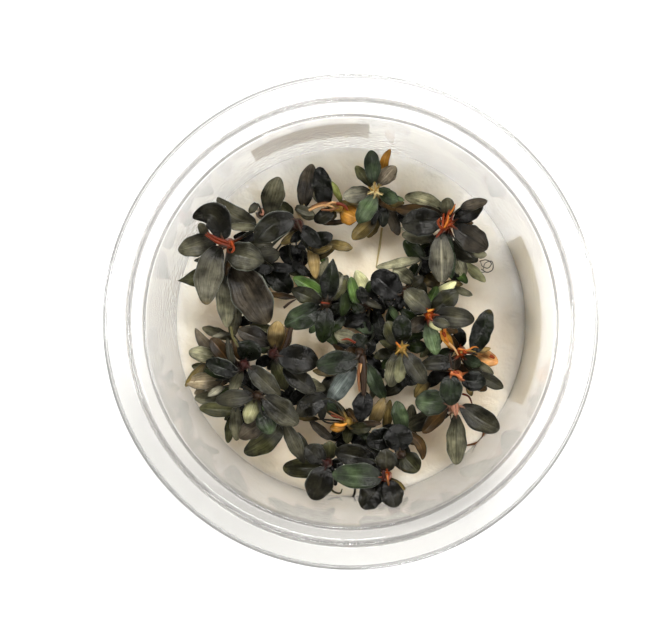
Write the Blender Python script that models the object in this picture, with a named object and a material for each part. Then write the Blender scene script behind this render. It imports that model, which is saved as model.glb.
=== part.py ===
# Open round culture cup with a disc of jelly and about twenty small broad-leaved water plants growing in it

import math

import bmesh
import bpy
import numpy as np
from mathutils import Vector

# Lengths below are millimetres and are turned into metres when a mesh is made
METRE = 0.001

# Cup: half section as radius and height, from the middle of the underside up the outside, then down the inside
CUP_OUTSIDE = (
    (0.0, 0.0), (34.6, 0.0), (36.6, 0.8), (37.1, 2.4), (42.1, 39.0), (45.2, 39.4),
    (45.3, 42.0), (49.2, 42.1), (49.3, 41.2), (50.0, 41.2), (50.0, 43.0),
)
CUP_INSIDE = (
    (44.5, 43.0), (44.3, 40.3), (41.5, 40.2), (36.3, 2.4), (34.8, 1.1), (0.0, 1.0),
)
CUP_WALL = (CUP_INSIDE[3], CUP_INSIDE[2])
CUP_WALL_OUTSIDE = (CUP_OUTSIDE[3], CUP_OUTSIDE[4])
CUP_FLOOR_RADIUS = CUP_INSIDE[4][0]
CUP_SEGMENTS = 44

# Jelly: poured over the cup's floor, with a slightly raised rim along the wall
GEL_GAP = 0.3
GEL_FLOOR = 1.3
GEL_TOP = 10.0
GEL_RIM_HEIGHT = 0.7
GEL_RIM_WIDTH = 2.2
GEL_SEGMENTS = 36
SOCKET_DEPTH = 2.6
SOCKET_SIDES = 4

# Plain strips stuck on the outside of the wall: start and end angle in degrees, lower and upper edge
STRIP_GAP = 0.3
STRIP_THICKNESS = 0.3
STRIP_STEP_DEGREES = 6.0
STRIPS = {
    "label_back": (84.5, 120.5, 19.0, 32.0),
    "label_right": (-26.0, 27.0, 3.5, 24.0),
}

# Plan positions of the plants are read on one level plane and lie along sight lines from an eye above the cup
EYE_HEIGHT = 543.0
READ_HEIGHT = 25.0

# Plants
LOWEST_LEAF = 12.0
TIER_STEP = 2.5
LEAF_THICKNESS = 0.5
LEAF_CLEARANCE = 0.7
LEAF_FULLNESS = 1.09
LEAF_BLUNTNESS = 0.52
WIDEST_TOWARDS_BASE = 0.92
EDGE_RAISE = 0.16
EDGE_RAISE_MARGIN = 1.3
ARCH = 0.11
STALK_WIDTH = 0.85
STALK_DROP = 0.32
STALK_TURN = 0.45
STRAIGHT_STALK = 0.8
DEEPEST_STALK_DROP = 1.6
STEM_RADIUS = 1.05
STEM_FOOT_RADIUS = 1.35
STEM_CAP = 0.5
STEM_SHOULDER = 0.8
STEM_TOP_RADIUS = 0.58
STEM_SIDES = 5
FIT_GAP = 0.3
WALL_CLEARANCE = 0.7
OWN_LEAVES = 33
SMALLEST_WIDTH = 2.3
BROAD_LEAF = 3.3
LONG_STALK = 3.0

# Shares of a leaf's or stalk's length at which it has a ring of points
BROAD_STATIONS = (0.2, 0.5, 0.8)
NARROW_STATIONS = (0.3, 0.72)
FUSED_BLADE_START = 0.04
LONG_STALK_BREAK = 0.6
BENT_STALK_BREAK = 0.5
BLADE_FOOT = 0.02
SLOPE_STEP = 0.01

# How finely a leaf is sampled when it is let down
FIRST_SAMPLE = 0.03
SAMPLES_ALONG = 26
SAMPLES_ACROSS = 11
STALK_SAMPLES = 16

# Height map that leaves are let down on: cell size and half width
CELL = 0.4
MAP_HALF = 50.0

# Colours of leaves, stems and jelly
TONES = {
    "ink": ("070704", 0.34),
    "night": ("0F100B", 0.36),
    "slate": ("201F18", 0.38),
    "moss": ("172009", 0.38),
    "olive": ("2C2D1A", 0.42),
    "ash": ("3B3C2D", 0.44),
    "stone": ("555542", 0.46),
    "silver": ("747464", 0.46),
    "mauve": ("363129", 0.44),
    "taupe": ("6F6551", 0.48),
    "bronze": ("463C22", 0.48),
    "teal": ("262F23", 0.42),
    "jade": ("3A4B38", 0.44),
    "bluegrey": ("5E655F", 0.42),
    "lime": ("7F8552", 0.46),
    "fresh": ("2F431C", 0.44),
    "straw": ("816F44", 0.50),
    "cream": ("949269", 0.50),
    "amber": ("AB722A", 0.46),
    "rust": ("342412", 0.50),
    "flame": ("BB7024", 0.45),
}
STEM_COLOURS = {
    "orange": "A3481E",
    "red": "481E15",
    "cream": "A59164",
    "brown": "442D18",
    "pink": "AC8368",
    "peach": "BE8658",
    "yellow": "7E632B",
}

# Plantlets: stem colour, plan position of the stem, and the leaves from low to high. A leaf has its base, its tip,
# its width, its tier, how far the tip is above the base, its colour and, where it curves, the bend to its left
PLANTLETS = {
    "northwest": ("orange", (-25.3, 16.3), (
        (-29.0, 9.5, -36.3, 8.5, 3.8, 1, 0.5, "olive"),
        (-26.2, 8.2, -25.8, -1.2, 4.0, 2, -1.0, "stone"),
        (-19.6, 13.4, -14.8, 14.2, 3.6, 2, -0.5, "slate"),
        (-30.4, 18.5, -31.6, 20.6, 1.9, 2, 1.0, "ash"),
        (-23.8, 10.8, -17.3, -0.4, 7.2, 3, -1.5, "mauve"),
        (-20.5, 20.6, -27.8, 26.0, 3.2, 3, 1.5, "ash", 1.1),
        (-29.0, 16.9, -36.0, 14.8, 4.3, 3, 1.5, "ash"),
        (-28.0, 14.8, -30.0, 3.5, 5.7, 4, -1.5, "silver", -0.7),
        (-27.0, 18.2, -33.0, 21.6, 4.4, 4, 0.0, "slate", -2.7),
        (-25.2, 14.4, -18.1, 12.6, 5.6, 5, -1.0, "stone"),
    )),
    "north_northwest": ("brown", (-18.6, 22.6), (
        (-14.8, 24.2, -12.0, 22.4, 2.6, 1, 0.5, "olive"),
        (-16.9, 22.6, -14.9, 30.2, 4.7, 3, 2.5, "ash", 0.3),
    )),
    "inner_northwest": ("red", (-11.0, 20.4), (
        (-9.8, 12.8, -15.0, 15.0, 4.2, 0, 0.5, "ink"),
        (-16.8, 10.6, -12.3, 6.2, 4.5, 1, -0.5, "night"),
        (-3.6, 16.2, 0.4, 15.3, 2.0, 2, 0.5, "bronze"),
        (-8.0, 15.0, -7.3, 9.0, 2.3, 2, -0.5, "straw"),
        (-8.0, 16.7, -3.7, 18.0, 3.0, 3, 1.0, "night"),
        (-10.2, 19.6, -6.3, 15.4, 3.0, 4, -0.5, "night"),
        (-12.3, 21.4, -19.9, 16.4, 5.2, 5, -1.0, "olive", -0.9),
    )),
    "north_small": ("cream", (-10.2, 23.2), (
        (-10.4, 22.6, -7.2, 21.8, 1.9, 1, 0.3, "stone"),
        (-9.8, 24.2, -8.0, 32.9, 2.9, 3, 2.5, "mauve", 0.3),
    )),
    "north_yellow": ("yellow", (-2.6, 23.8), (
        (-2.2, 25.6, -4.0, 29.3, 1.3, 1, 1.5, "lime"),
        (-1.6, 22.9, 1.5, 21.4, 3.4, 2, 0.5, "amber"),
        (-4.2, 22.9, -7.6, 20.9, 2.8, 3, -0.5, "slate"),
        (-5.4, 25.0, -6.6, 32.3, 3.3, 3, 2.5, "night"),
    )),
    "north": ("cream", (5.0, 27.4), (
        (5.4, 21.2, 3.5, 17.5, 2.3, 0, 0.5, "bronze"),
        (8.0, 23.2, 10.0, 18.0, 2.3, 1, -0.5, "mauve"),
        (4.4, 21.0, 0.3, 17.2, 3.0, 1, 0.0, "bronze"),
        (6.8, 23.0, 6.7, 19.7, 2.2, 2, 0.0, "night"),
        (6.6, 31.0, 8.3, 36.0, 1.7, 1, 1.5, "amber", 0.4),
        (4.0, 28.5, 1.0, 32.5, 2.1, 2, 1.5, "olive"),
        (6.0, 28.8, 9.4, 32.4, 3.2, 2, 1.0, "mauve"),
        (6.7, 26.6, 9.9, 25.2, 2.8, 3, 0.5, "jade"),
        (3.6, 27.0, -1.6, 26.0, 3.2, 3, 1.0, "silver"),
        (4.8, 28.8, 4.2, 35.8, 3.3, 4, 1.5, "teal"),
        (4.8, 25.8, 1.5, 20.6, 3.7, 4, -1.0, "jade"),
    )),
    "northeast": ("orange", (20.2, 20.4), (
        (24.3, 11.7, 28.1, 8.3, 2.0, 0, 0.0, "cream"),
        (22.0, 10.8, 24.3, 8.0, 1.8, 0, 0.0, "fresh"),
        (17.0, 16.2, 13.4, 12.9, 2.6, 0, 0.0, "moss"),
        (22.3, 12.8, 23.6, 9.2, 2.7, 1, 0.0, "stone"),
        (24.0, 24.2, 28.5, 25.2, 2.2, 1, 1.0, "mauve"),
        (18.3, 23.8, 11.2, 26.0, 3.0, 1, 1.0, "stone", -0.6),
        (14.3, 13.8, 11.1, 17.0, 3.3, 2, 0.5, "moss"),
        (21.2, 15.7, 26.5, 12.6, 3.3, 2, -0.5, "slate"),
        (18.0, 22.6, 9.3, 23.5, 2.8, 2, 1.0, "rust"),
        (16.2, 17.6, 10.6, 18.2, 2.9, 3, 0.0, "ash"),
        (22.3, 21.4, 27.6, 24.5, 3.5, 3, 1.5, "slate"),
        (20.2, 22.6, 20.2, 25.9, 2.8, 3, 2.0, "stone"),
        (20.3, 17.2, 21.0, 9.0, 2.2, 3, -1.0, "teal"),
        (18.0, 21.0, 10.6, 20.5, 5.5, 4, -1.0, "slate"),
        (22.2, 19.3, 28.5, 15.2, 5.2, 5, -1.0, "mauve"),
        (18.8, 17.4, 19.0, 8.1, 5.0, 5, -1.5, "silver"),
    )),
    "inner_northeast": ("brown", (11.0, 6.3), (
        (13.6, 12.9, 5.2, 11.3, 1.8, 1, 0.0, "stone"),
        (12.4, 8.9, 8.8, 11.2, 3.0, 2, 0.5, "stone"),
        (9.8, 5.8, 4.6, 10.2, 5.5, 4, -0.5, "ink"),
    )),
    "centre": ("brown", (3.6, 3.6), (
        (4.0, 1.8, 5.0, -4.8, 3.6, 0, 0.0, "ink"),
        (2.4, 2.8, -1.2, 0.4, 2.8, 0, 0.0, "ink"),
        (5.0, 3.6, 9.0, 4.6, 3.0, 0, 0.5, "ink"),
        (3.3, 6.4, 1.0, 10.7, 2.6, 1, 1.5, "cream"),
        (1.0, 4.6, 0.0, 9.4, 2.2, 2, 1.5, "fresh"),
        (2.6, 4.4, 1.9, 7.4, 2.2, 3, 1.0, "night"),
        (1.9, 2.2, 0.0, 4.8, 2.4, 2, 0.5, "moss"),
    )),
    "centre_left": ("brown", (-5.2, 3.7), (
        (-6.4, 6.0, -12.0, 9.3, 2.8, 2, 0.5, "fresh"),
        (-3.6, 5.2, -0.6, 9.7, 2.6, 2, 1.0, "olive"),
        (-6.8, 4.4, -12.3, 6.7, 3.4, 3, 0.0, "olive"),
        (-6.8, 2.5, -13.8, -0.7, 4.7, 3, 0.0, "teal"),
        (-5.0, 2.4, -6.0, -4.4, 3.6, 4, -0.5, "moss"),
        (-4.8, 5.4, -3.7, 13.2, 4.0, 5, 1.5, "moss"),
    )),
    "west": ("red", (-22.2, -8.9), (
        (-26.0, -3.0, -31.0, -1.2, 2.0, 0, 1.0, "ash"),
        (-29.4, -9.8, -33.2, -9.2, 1.9, 0, 0.5, "olive"),
        (-28.6, -6.4, -32.4, -1.3, 2.4, 1, 1.0, "mauve", 0.4),
        (-29.0, -7.2, -33.8, -6.2, 3.0, 2, 1.0, "stone"),
        (-28.0, -12.2, -34.5, -12.6, 3.3, 2, 0.5, "taupe"),
        (-23.2, -10.8, -25.0, -15.0, 2.3, 3, -0.5, "stone"),
        (-24.8, -8.9, -29.2, -3.4, 3.5, 3, 0.5, "rust"),
        (-24.6, -10.4, -30.2, -8.2, 3.4, 4, -0.3, "moss"),
        (-21.8, -7.5, -20.4, -3.9, 5.0, 4, 1.5, "moss"),
        (-20.7, -9.8, -14.7, -15.5, 3.8, 5, -1.0, "ash"),
    )),
    "inner_west": ("red", (-16.2, -6.6), (
        (-17.2, -5.2, -18.6, -2.2, 2.2, 1, 0.5, "olive"),
        (-9.8, -12.4, -5.2, -14.2, 2.4, 2, 0.0, "ash"),
        (-17.9, -4.0, -23.5, -1.6, 3.8, 3, 0.5, "mauve"),
        (-15.8, -4.7, -15.2, 0.2, 3.5, 3, 1.5, "straw"),
        (-15.4, -8.8, -13.6, -14.2, 3.5, 3, -0.5, "olive"),
        (-13.0, -10.2, -7.4, -14.7, 3.8, 4, -0.5, "slate"),
        (-14.2, -7.2, -6.7, -8.4, 5.5, 5, -0.5, "slate"),
    )),
    "southwest": ("brown", (-19.4, -15.4), (
        (-25.2, -20.8, -25.6, -25.3, 1.8, 1, 0.5, "olive"),
        (-27.6, -15.8, -32.6, -15.9, 2.8, 1, 0.5, "stone"),
        (-15.4, -22.6, -22.3, -27.2, 4.3, 1, 0.5, "olive", 0.6),
        (-18.6, -17.8, -16.6, -20.0, 1.9, 2, 0.5, "fresh"),
        (-24.2, -18.4, -31.6, -18.0, 3.0, 2, 0.5, "olive"),
        (-24.0, -18.6, -23.8, -24.8, 2.5, 3, -0.3, "stone"),
        (-18.9, -21.2, -23.3, -24.2, 3.8, 3, 0.0, "mauve"),
        (-13.8, -21.2, -9.7, -29.5, 3.3, 4, 0.5, "ash"),
        (-20.2, -16.8, -21.7, -21.2, 3.0, 4, -0.3, "cream"),
        (-18.2, -19.8, -16.6, -23.4, 3.7, 4, 0.5, "jade"),
        (-21.0, -15.6, -28.2, -16.4, 3.4, 5, -0.5, "ash"),
        (-17.6, -16.2, -11.0, -21.4, 4.9, 5, -0.5, "ash"),
    )),
    "centre_south": ("brown", (1.9, -6.3), (
        (4.0, -1.6, 0.6, -0.7, 2.2, 1, 0.3, "teal"),
        (3.6, -9.8, 7.0, -16.2, 3.0, 1, 0.0, "teal"),
        (0.2, -10.2, -4.6, -16.9, 3.7, 3, -0.5, "bluegrey"),
        (0.3, -3.4, -3.5, -2.6, 2.9, 3, 0.5, "stone"),
        (3.0, -4.9, 0.4, -2.8, 2.7, 4, 0.8, "moss"),
        (2.8, -15.8, 1.9, -20.9, 4.0, 4, -0.5, "ink"),
        (0.6, -7.9, -7.2, -9.2, 4.6, 5, -0.5, "teal"),
    )),
    "inner_southeast": ("yellow", (10.6, -5.6), (
        (8.8, -1.2, 8.7, 3.3, 2.8, 1, 1.0, "moss"),
        (8.2, -6.2, 4.8, -7.4, 2.2, 1, 0.5, "olive"),
        (12.2, -4.9, 15.7, -5.4, 2.8, 2, 0.5, "moss"),
        (9.4, -4.3, 7.6, 0.2, 3.3, 3, 1.0, "olive"),
        (9.7, -6.9, 8.2, -13.6, 3.5, 3, -0.5, "stone"),
        (10.7, -4.1, 10.6, 1.5, 3.8, 4, 1.5, "moss"),
        (10.7, -7.2, 9.9, -12.7, 2.6, 4, -0.5, "cream"),
        (11.8, -7.2, 15.5, -12.9, 3.6, 5, -0.5, "ash"),
    )),
    "inner_east": ("orange", (16.4, 1.3), (
        (15.0, 4.8, 13.2, 9.6, 3.0, 1, 0.5, "slate"),
        (17.6, 5.4, 22.0, 8.3, 2.0, 1, 0.5, "cream"),
        (16.8, 4.6, 18.0, 7.4, 2.0, 2, 0.5, "fresh"),
        (15.4, 0.4, 12.1, -1.8, 3.0, 3, 0.3, "mauve"),
        (16.2, -0.8, 17.9, -6.9, 3.3, 3, -0.5, "jade"),
        (15.8, 2.8, 11.3, 6.6, 4.3, 4, 0.3, "stone"),
        (17.4, 2.6, 22.3, 6.4, 4.0, 4, 0.5, "olive"),
        (18.2, 1.4, 25.8, 0.4, 4.2, 4, 0.0, "ash"),
        (17.6, 0.0, 20.7, -0.8, 2.0, 5, 0.3, "stone"),
    )),
    "east": ("orange", (22.9, -6.2), (
        (26.4, -6.9, 30.7, -8.6, 3.2, 1, 0.5, "flame"),
        (22.8, -4.8, 22.6, -1.2, 2.6, 1, 1.0, "ink"),
        (20.6, -6.2, 18.0, -7.8, 2.4, 2, 0.3, "moss"),
        (24.2, -7.9, 27.2, -9.0, 2.6, 2, 0.0, "teal"),
        (21.9, -7.6, 21.6, -10.0, 2.2, 2, 0.0, "mauve"),
        (20.4, -8.4, 14.6, -8.9, 3.1, 4, 0.0, "slate"),
        (26.0, -5.5, 29.0, 2.6, 4.0, 4, 1.5, "moss"),
    )),
    "east_southeast": ("peach", (22.3, -11.2), (
        (25.8, -12.8, 28.4, -14.2, 2.2, 2, 0.0, "rust"),
        (27.0, -11.2, 31.8, -13.8, 2.6, 3, 0.5, "ash"),
        (23.7, -12.2, 28.2, -12.6, 4.0, 5, -0.3, "moss"),
        (20.8, -11.6, 20.9, -17.5, 4.5, 6, -0.8, "teal"),
    )),
    "southeast": ("pink", (21.6, -18.0), (
        (17.4, -19.6, 11.6, -22.2, 3.6, 1, 0.0, "slate"),
        (19.6, -18.2, 15.0, -23.2, 2.8, 2, 0.0, "rust"),
        (22.0, -19.9, 22.0, -29.8, 4.0, 2, 0.0, "stone"),
        (23.6, -17.9, 31.0, -22.4, 4.5, 2, 0.5, "ash", -0.3),
        (19.2, -17.0, 13.4, -16.6, 5.2, 4, -0.5, "jade"),
    )),
    "inner_south": ("yellow", (-0.6, -20.8), (
        (-4.8, -23.9, -8.6, -20.6, 1.8, 0, 0.5, "mauve"),
        (-1.7, -22.8, -4.4, -24.5, 2.5, 0, 0.3, "ink"),
        (4.6, -21.2, 7.0, -15.8, 2.6, 1, 0.5, "straw"),
        (-1.6, -19.4, -5.6, -16.8, 3.0, 1, 0.3, "teal"),
        (-1.5, -21.8, -4.4, -22.2, 1.9, 2, 0.3, "amber"),
        (0.4, -22.3, 4.3, -22.2, 2.3, 2, 0.3, "olive"),
        (-6.0, -16.2, -11.1, -19.6, 4.3, 3, 0.0, "slate", -0.35),
    )),
    "south_southwest": ("red", (-4.9, -29.4), (
        (-6.8, -30.4, -14.2, -30.5, 4.0, 2, 0.5, "olive"),
        (-4.5, -28.2, -4.4, -24.9, 3.2, 3, 1.0, "olive"),
        (-5.9, -28.8, -9.4, -26.0, 4.0, 5, 0.5, "slate"),
        (-5.4, -30.9, -8.0, -37.1, 5.4, 5, -0.5, "slate"),
    )),
    "south": ("orange", (7.4, -32.0), (
        (3.9, -28.6, -3.3, -27.0, 4.5, 3, 0.3, "slate"),
        (5.8, -33.8, 2.5, -39.0, 4.9, 3, 1.5, "slate"),
        (8.0, -34.0, 9.4, -38.7, 4.5, 3, 1.5, "slate"),
        (7.5, -30.7, 7.3, -26.5, 4.2, 6, 1.0, "slate"),
        (6.0, -32.4, -3.9, -31.8, 5.0, 6, -0.8, "jade"),
    )),
    "south_southeast": ("brown", (10.5, -27.6), (
        (12.6, -20.0, 12.8, -17.2, 1.9, 0, 0.5, "ash"),
        (12.0, -23.6, 14.9, -28.8, 2.1, 1, -0.3, "rust", 1.2),
        (10.8, -21.8, 9.5, -16.5, 3.2, 2, 0.3, "jade"),
        (8.2, -24.2, 3.2, -24.9, 4.3, 3, 0.0, "night"),
        (10.7, -27.6, 14.1, -31.2, 4.3, 3, 0.3, "olive"),
        (10.2, -26.3, 9.5, -21.3, 5.6, 5, 0.3, "night"),
    )),
}


def remove_everything():
    for thing in list(bpy.data.objects):
        bpy.data.objects.remove(thing)


def linear_colour(code):
    """Linear colour of a six-digit sRGB code, with full alpha."""
    values = []
    for place in (0, 2, 4):
        part = int(code[place:place + 2], 16) / 255
        values.append(part / 12.92 if part <= 0.04045 else ((part + 0.055) / 1.055) ** 2.4)
    return (*values, 1.0)


def plain_material(name, code, roughness, transmission=0.0, ior=1.45):
    material = bpy.data.materials.new(name)
    material.use_nodes = True
    surface = material.node_tree.nodes["Principled BSDF"]
    surface.inputs["Base Color"].default_value = linear_colour(code)
    surface.inputs["Roughness"].default_value = roughness
    surface.inputs["Metallic"].default_value = 0.0
    surface.inputs["IOR"].default_value = ior
    surface.inputs["Transmission Weight"].default_value = transmission
    material.diffuse_color = linear_colour(code)
    return material


def object_from(name, points, faces, material, smooth=False):
    """A mesh object from points in millimetres, its faces turned outwards."""
    mesh = bpy.data.meshes.new(name)
    mesh.from_pydata([Vector(point) * METRE for point in points], [], faces)
    shape = bmesh.new()
    shape.from_mesh(mesh)
    bmesh.ops.recalc_face_normals(shape, faces=shape.faces)
    for face in shape.faces:
        face.smooth = smooth
    shape.to_mesh(mesh)
    shape.free()
    mesh.materials.append(material)
    made = bpy.data.objects.new(name, mesh)
    bpy.context.scene.collection.objects.link(made)
    return made


def turned(name, outline, segments, material, smooth=True):
    """A closed turned shape from an outline whose first and last points are where flat round faces meet the axis."""
    points = []
    for radius, height in outline[1:-1]:
        for step in range(segments):
            angle = math.tau * step / segments
            points.append((radius * math.cos(angle), radius * math.sin(angle), height))
    rings = len(outline) - 2
    top = (rings - 1) * segments
    faces = [tuple(range(segments)), tuple(top + step for step in range(segments))]
    for ring in range(rings - 1):
        low = ring * segments
        high = low + segments
        for step in range(segments):
            after = (step + 1) % segments
            faces.append((low + step, low + after, high + after, high + step))
    return object_from(name, points, faces, material, smooth)


def skin(rings, pointed):
    """Points and faces of a tube through rings of four points, its far end closed to a point or by a face."""
    points = [point for ring in rings for point in ring]
    sides = len(rings[0])
    faces = [tuple(range(sides))]
    for ring in range(len(rings) - 1):
        low = ring * sides
        high = low + sides
        for step in range(sides):
            after = (step + 1) % sides
            faces.append((low + step, low + after, high + after, high + step))
    far = (len(rings) - 1) * sides
    if pointed is None:
        faces.append(tuple(far + step for step in range(sides)))
    else:
        points.append(pointed)
        for step in range(sides):
            faces.append((far + step, far + (step + 1) % sides, len(points) - 1))
    return points, faces


def on_sight_line(x, y, height):
    """The real point at this height that is seen at a reading on the reading plane."""
    nearness = (EYE_HEIGHT - height) / (EYE_HEIGHT - READ_HEIGHT)
    return (x * nearness, y * nearness, height)


def wall_floor(x, y):
    """Lowest height at which a point read here is clear of the cup's leaning wall."""
    (low_radius, low_height), (high_radius, high_height) = CUP_WALL
    lean = (high_radius - low_radius) / (high_height - low_height)
    read_radius = np.hypot(x, y)
    span = EYE_HEIGHT - READ_HEIGHT
    clear_radius = low_radius - lean * low_height - WALL_CLEARANCE
    return (read_radius * EYE_HEIGHT / span - clear_radius) / (lean + read_radius / span)


class Leaf:
    """One leaf blade with its stalk, in reading coordinates, at a height that is settled later."""

    def __init__(self, plantlet, number, row, stem):
        self.name = f"leaf_{plantlet}_{number}"
        self.plantlet = plantlet
        self.base = np.array(row[0:2])
        self.tip = np.array(row[2:4])
        self.width, self.tier, self.lift, self.tone = row[4:8]
        self.bend = row[8] if len(row) > 8 else 0.0
        self.stem = np.array(stem)
        self.length = float(np.hypot(*(self.tip - self.base)))
        self.drop = min(STALK_DROP * float(np.hypot(*(self.base - self.stem))), DEEPEST_STALK_DROP)
        self.height = LOWEST_LEAF + TIER_STEP * self.tier
        self.own = False

    def middle(self, along):
        """Plan point of the midrib, the share of the length from base to tip."""
        along = np.asarray(along)[..., None]
        across = np.array((self.base[1] - self.tip[1], self.tip[0] - self.base[0])) / self.length
        straight = self.base + (self.tip - self.base) * along
        return straight + across * self.bend * 4 * along * (1 - along)

    def sideways(self, along):
        ahead = self.middle(np.asarray(along) + SLOPE_STEP) - self.middle(np.asarray(along) - SLOPE_STEP)
        ahead = ahead / np.hypot(ahead[..., 0], ahead[..., 1])[..., None]
        return np.stack((-ahead[..., 1], ahead[..., 0]), -1)

    def half_width(self, along):
        swell = np.sin(math.pi * np.clip(along, 0.0, 1.0) ** WIDEST_TOWARDS_BASE) ** LEAF_BLUNTNESS
        return 0.5 * self.width * LEAF_FULLNESS * swell

    def heading(self):
        sideways = self.sideways(BLADE_FOOT)
        return np.array((sideways[1], -sideways[0]))

    def rise(self, along):
        return self.lift * along + ARCH * self.length * 4 * along * (1 - along)

    def stalk(self, along):
        """Plan point and height, above the blade's base, of the stalk, which turns into the blade's direction."""
        along = np.asarray(along, float)
        reach = float(np.hypot(*(self.base - self.stem)))
        turn = self.base - self.heading() * STALK_TURN * reach
        share = along[..., None]
        plan = self.stem * (1 - share) ** 2 + turn * 2 * share * (1 - share) + self.base * share ** 2
        return plan, -self.drop * (1 - along) ** 2

    def samples(self):
        """Plan points with the lower and upper surface above the blade's base height."""
        stations = np.linspace(FIRST_SAMPLE, 1.0, SAMPLES_ALONG)
        along, across = np.meshgrid(stations, np.linspace(-1, 1, SAMPLES_ACROSS), indexing="ij")
        half = self.half_width(along)
        plan = self.middle(along) + self.sideways(along) * (half * across)[..., None]
        level = self.rise(along) + EDGE_RAISE * half * np.abs(across) * EDGE_RAISE_MARGIN
        blade = np.concatenate((plan, (level - 0.5 * LEAF_THICKNESS)[..., None],
                                (level + 0.5 * LEAF_THICKNESS)[..., None]), -1).reshape(-1, 4)
        plan, level = self.stalk(np.linspace(0.0, 1.0, STALK_SAMPLES))
        away = np.hypot(*(plan - self.stem).T) > STEM_RADIUS
        half_stalk = 0.5 * STALK_WIDTH
        tube = np.column_stack((plan, level - half_stalk, level + half_stalk))[away]
        return np.concatenate((blade, tube))

    def blade_rings(self, stations):
        rings = []
        for along in stations:
            half = float(max(self.half_width(along), 0.5 * STALK_WIDTH))
            plan = self.middle(along)
            side = self.sideways(along) * half
            level = self.height + float(self.rise(along))
            edge = level + EDGE_RAISE * half
            half_thick = 0.5 * LEAF_THICKNESS
            rings.append((
                on_sight_line(*(plan + side), edge),
                on_sight_line(*plan, level + half_thick),
                on_sight_line(*(plan - side), edge),
                on_sight_line(*plan, level - half_thick),
            ))
        return rings

    def stalk_rings(self, stations):
        rings = []
        half = 0.5 * STALK_WIDTH
        for along in stations:
            plan, level = self.stalk(along)
            level = self.height + float(level)
            ahead = self.stalk(along + SLOPE_STEP)[0] - self.stalk(along - SLOPE_STEP)[0]
            ahead = ahead / float(np.hypot(*ahead))
            side = np.array((-ahead[1], ahead[0])) * half
            rings.append((
                on_sight_line(*(plan + side), level),
                on_sight_line(*plan, level + half),
                on_sight_line(*(plan - side), level),
                on_sight_line(*plan, level - half),
            ))
        return rings

    def tip_point(self):
        return on_sight_line(*self.tip, self.height + self.lift)

    def blade_stations(self, start):
        return (start, *(BROAD_STATIONS if self.width > BROAD_LEAF else NARROW_STATIONS))

    def stalk_stations(self, end):
        reach = self.base - self.stem
        distance = float(np.hypot(*reach))
        if float(reach @ self.heading()) <= STRAIGHT_STALK * distance:
            return (0.0, BENT_STALK_BREAK, end)
        return (0.0, LONG_STALK_BREAK, end) if distance > LONG_STALK else (0.0, end)


def read_leaves():
    leaves = []
    for plantlet, (_, stem, rows) in PLANTLETS.items():
        for number, row in enumerate(rows, 1):
            if row[4] >= SMALLEST_WIDTH:
                leaves.append(Leaf(plantlet, number, row, stem))
    for leaf in sorted(leaves, key=lambda each: -each.width * each.length)[:OWN_LEAVES]:
        leaf.own = True
    return leaves


def cells_of(x, y):
    column = np.clip(((x + MAP_HALF) / CELL).astype(int), 1, int(2 * MAP_HALF / CELL) - 2)
    row = np.clip(((y + MAP_HALF) / CELL).astype(int), 1, int(2 * MAP_HALF / CELL) - 2)
    return column, row


def settle(leaves):
    """Lets each leaf down, from the lowest tier up, until it is just clear of the leaves and stems under it."""
    size = int(2 * MAP_HALF / CELL)
    ground = np.full((size, size), GEL_TOP + GEL_RIM_HEIGHT)
    stem_tops = {plantlet: GEL_TOP for plantlet in PLANTLETS}
    for leaf in sorted(leaves, key=lambda each: each.tier):
        x, y, under, over = leaf.samples().T
        column, row = cells_of(x, y)
        needed = np.maximum(ground[column, row] + LEAF_CLEARANCE, wall_floor(x, y)) - under
        for plantlet, (_, (stem_x, stem_y), _) in PLANTLETS.items():
            if plantlet != leaf.plantlet:
                near = np.hypot(x - stem_x, y - stem_y) < STEM_RADIUS + LEAF_CLEARANCE
                needed = np.where(near, np.maximum(needed, stem_tops[plantlet] + LEAF_CLEARANCE - under), needed)
        leaf.height = max(leaf.height, float(needed.max()))
        for shift_x in (-1, 0, 1):
            for shift_y in (-1, 0, 1):
                np.maximum.at(ground, (column + shift_x, row + shift_y), leaf.height + over)
        top = leaf.height - leaf.drop + 0.5 * STALK_WIDTH + STEM_CAP
        stem_tops[leaf.plantlet] = max(stem_tops[leaf.plantlet], top)
    return stem_tops


def make_stem(plantlet, leaves, top, material):
    """The stem of a plantlet with all its leaf stalks and its smaller leaves, joined in one body."""
    _, (stem_x, stem_y), _ = PLANTLETS[plantlet]
    foot_x, foot_y, _ = on_sight_line(stem_x, stem_y, GEL_TOP)
    foot = (foot_x, foot_y, GEL_TOP - SOCKET_DEPTH + FIT_GAP)
    shoulder = on_sight_line(stem_x, stem_y, top - STEM_SHOULDER)
    crown = on_sight_line(stem_x, stem_y, top)
    rings = []
    for centre, radius in ((foot, STEM_FOOT_RADIUS), (shoulder, STEM_RADIUS), (crown, STEM_TOP_RADIUS)):
        centre_x, centre_y, height = centre
        ring = []
        for step in range(STEM_SIDES):
            angle = math.tau * step / STEM_SIDES
            ring.append((centre_x + radius * math.cos(angle), centre_y + radius * math.sin(angle), height))
        rings.append(ring)
    stem = object_from(f"stem_{plantlet}", *skin(rings, None), material)
    growth = bpy.data.collections.new(f"growth_{plantlet}")
    bpy.context.scene.collection.children.link(growth)
    for leaf in leaves:
        if leaf.own:
            points, faces = skin(leaf.stalk_rings(leaf.stalk_stations(1.0)), None)
        else:
            rings = leaf.stalk_rings(leaf.stalk_stations(1.0)[:-1])
            rings += leaf.blade_rings(leaf.blade_stations(FUSED_BLADE_START))
            points, faces = skin(rings, leaf.tip_point())
        part = object_from(f"{leaf.name}_fused", points, faces, material)
        bpy.context.scene.collection.objects.unlink(part)
        growth.objects.link(part)
        part.hide_render = True
        part.display_type = "WIRE"
    join = stem.modifiers.new("join_growth", "BOOLEAN")
    join.operation = "UNION"
    join.operand_type = "COLLECTION"
    join.collection = growth
    join.solver = "EXACT"
    join.use_self = True
    return stem


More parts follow.
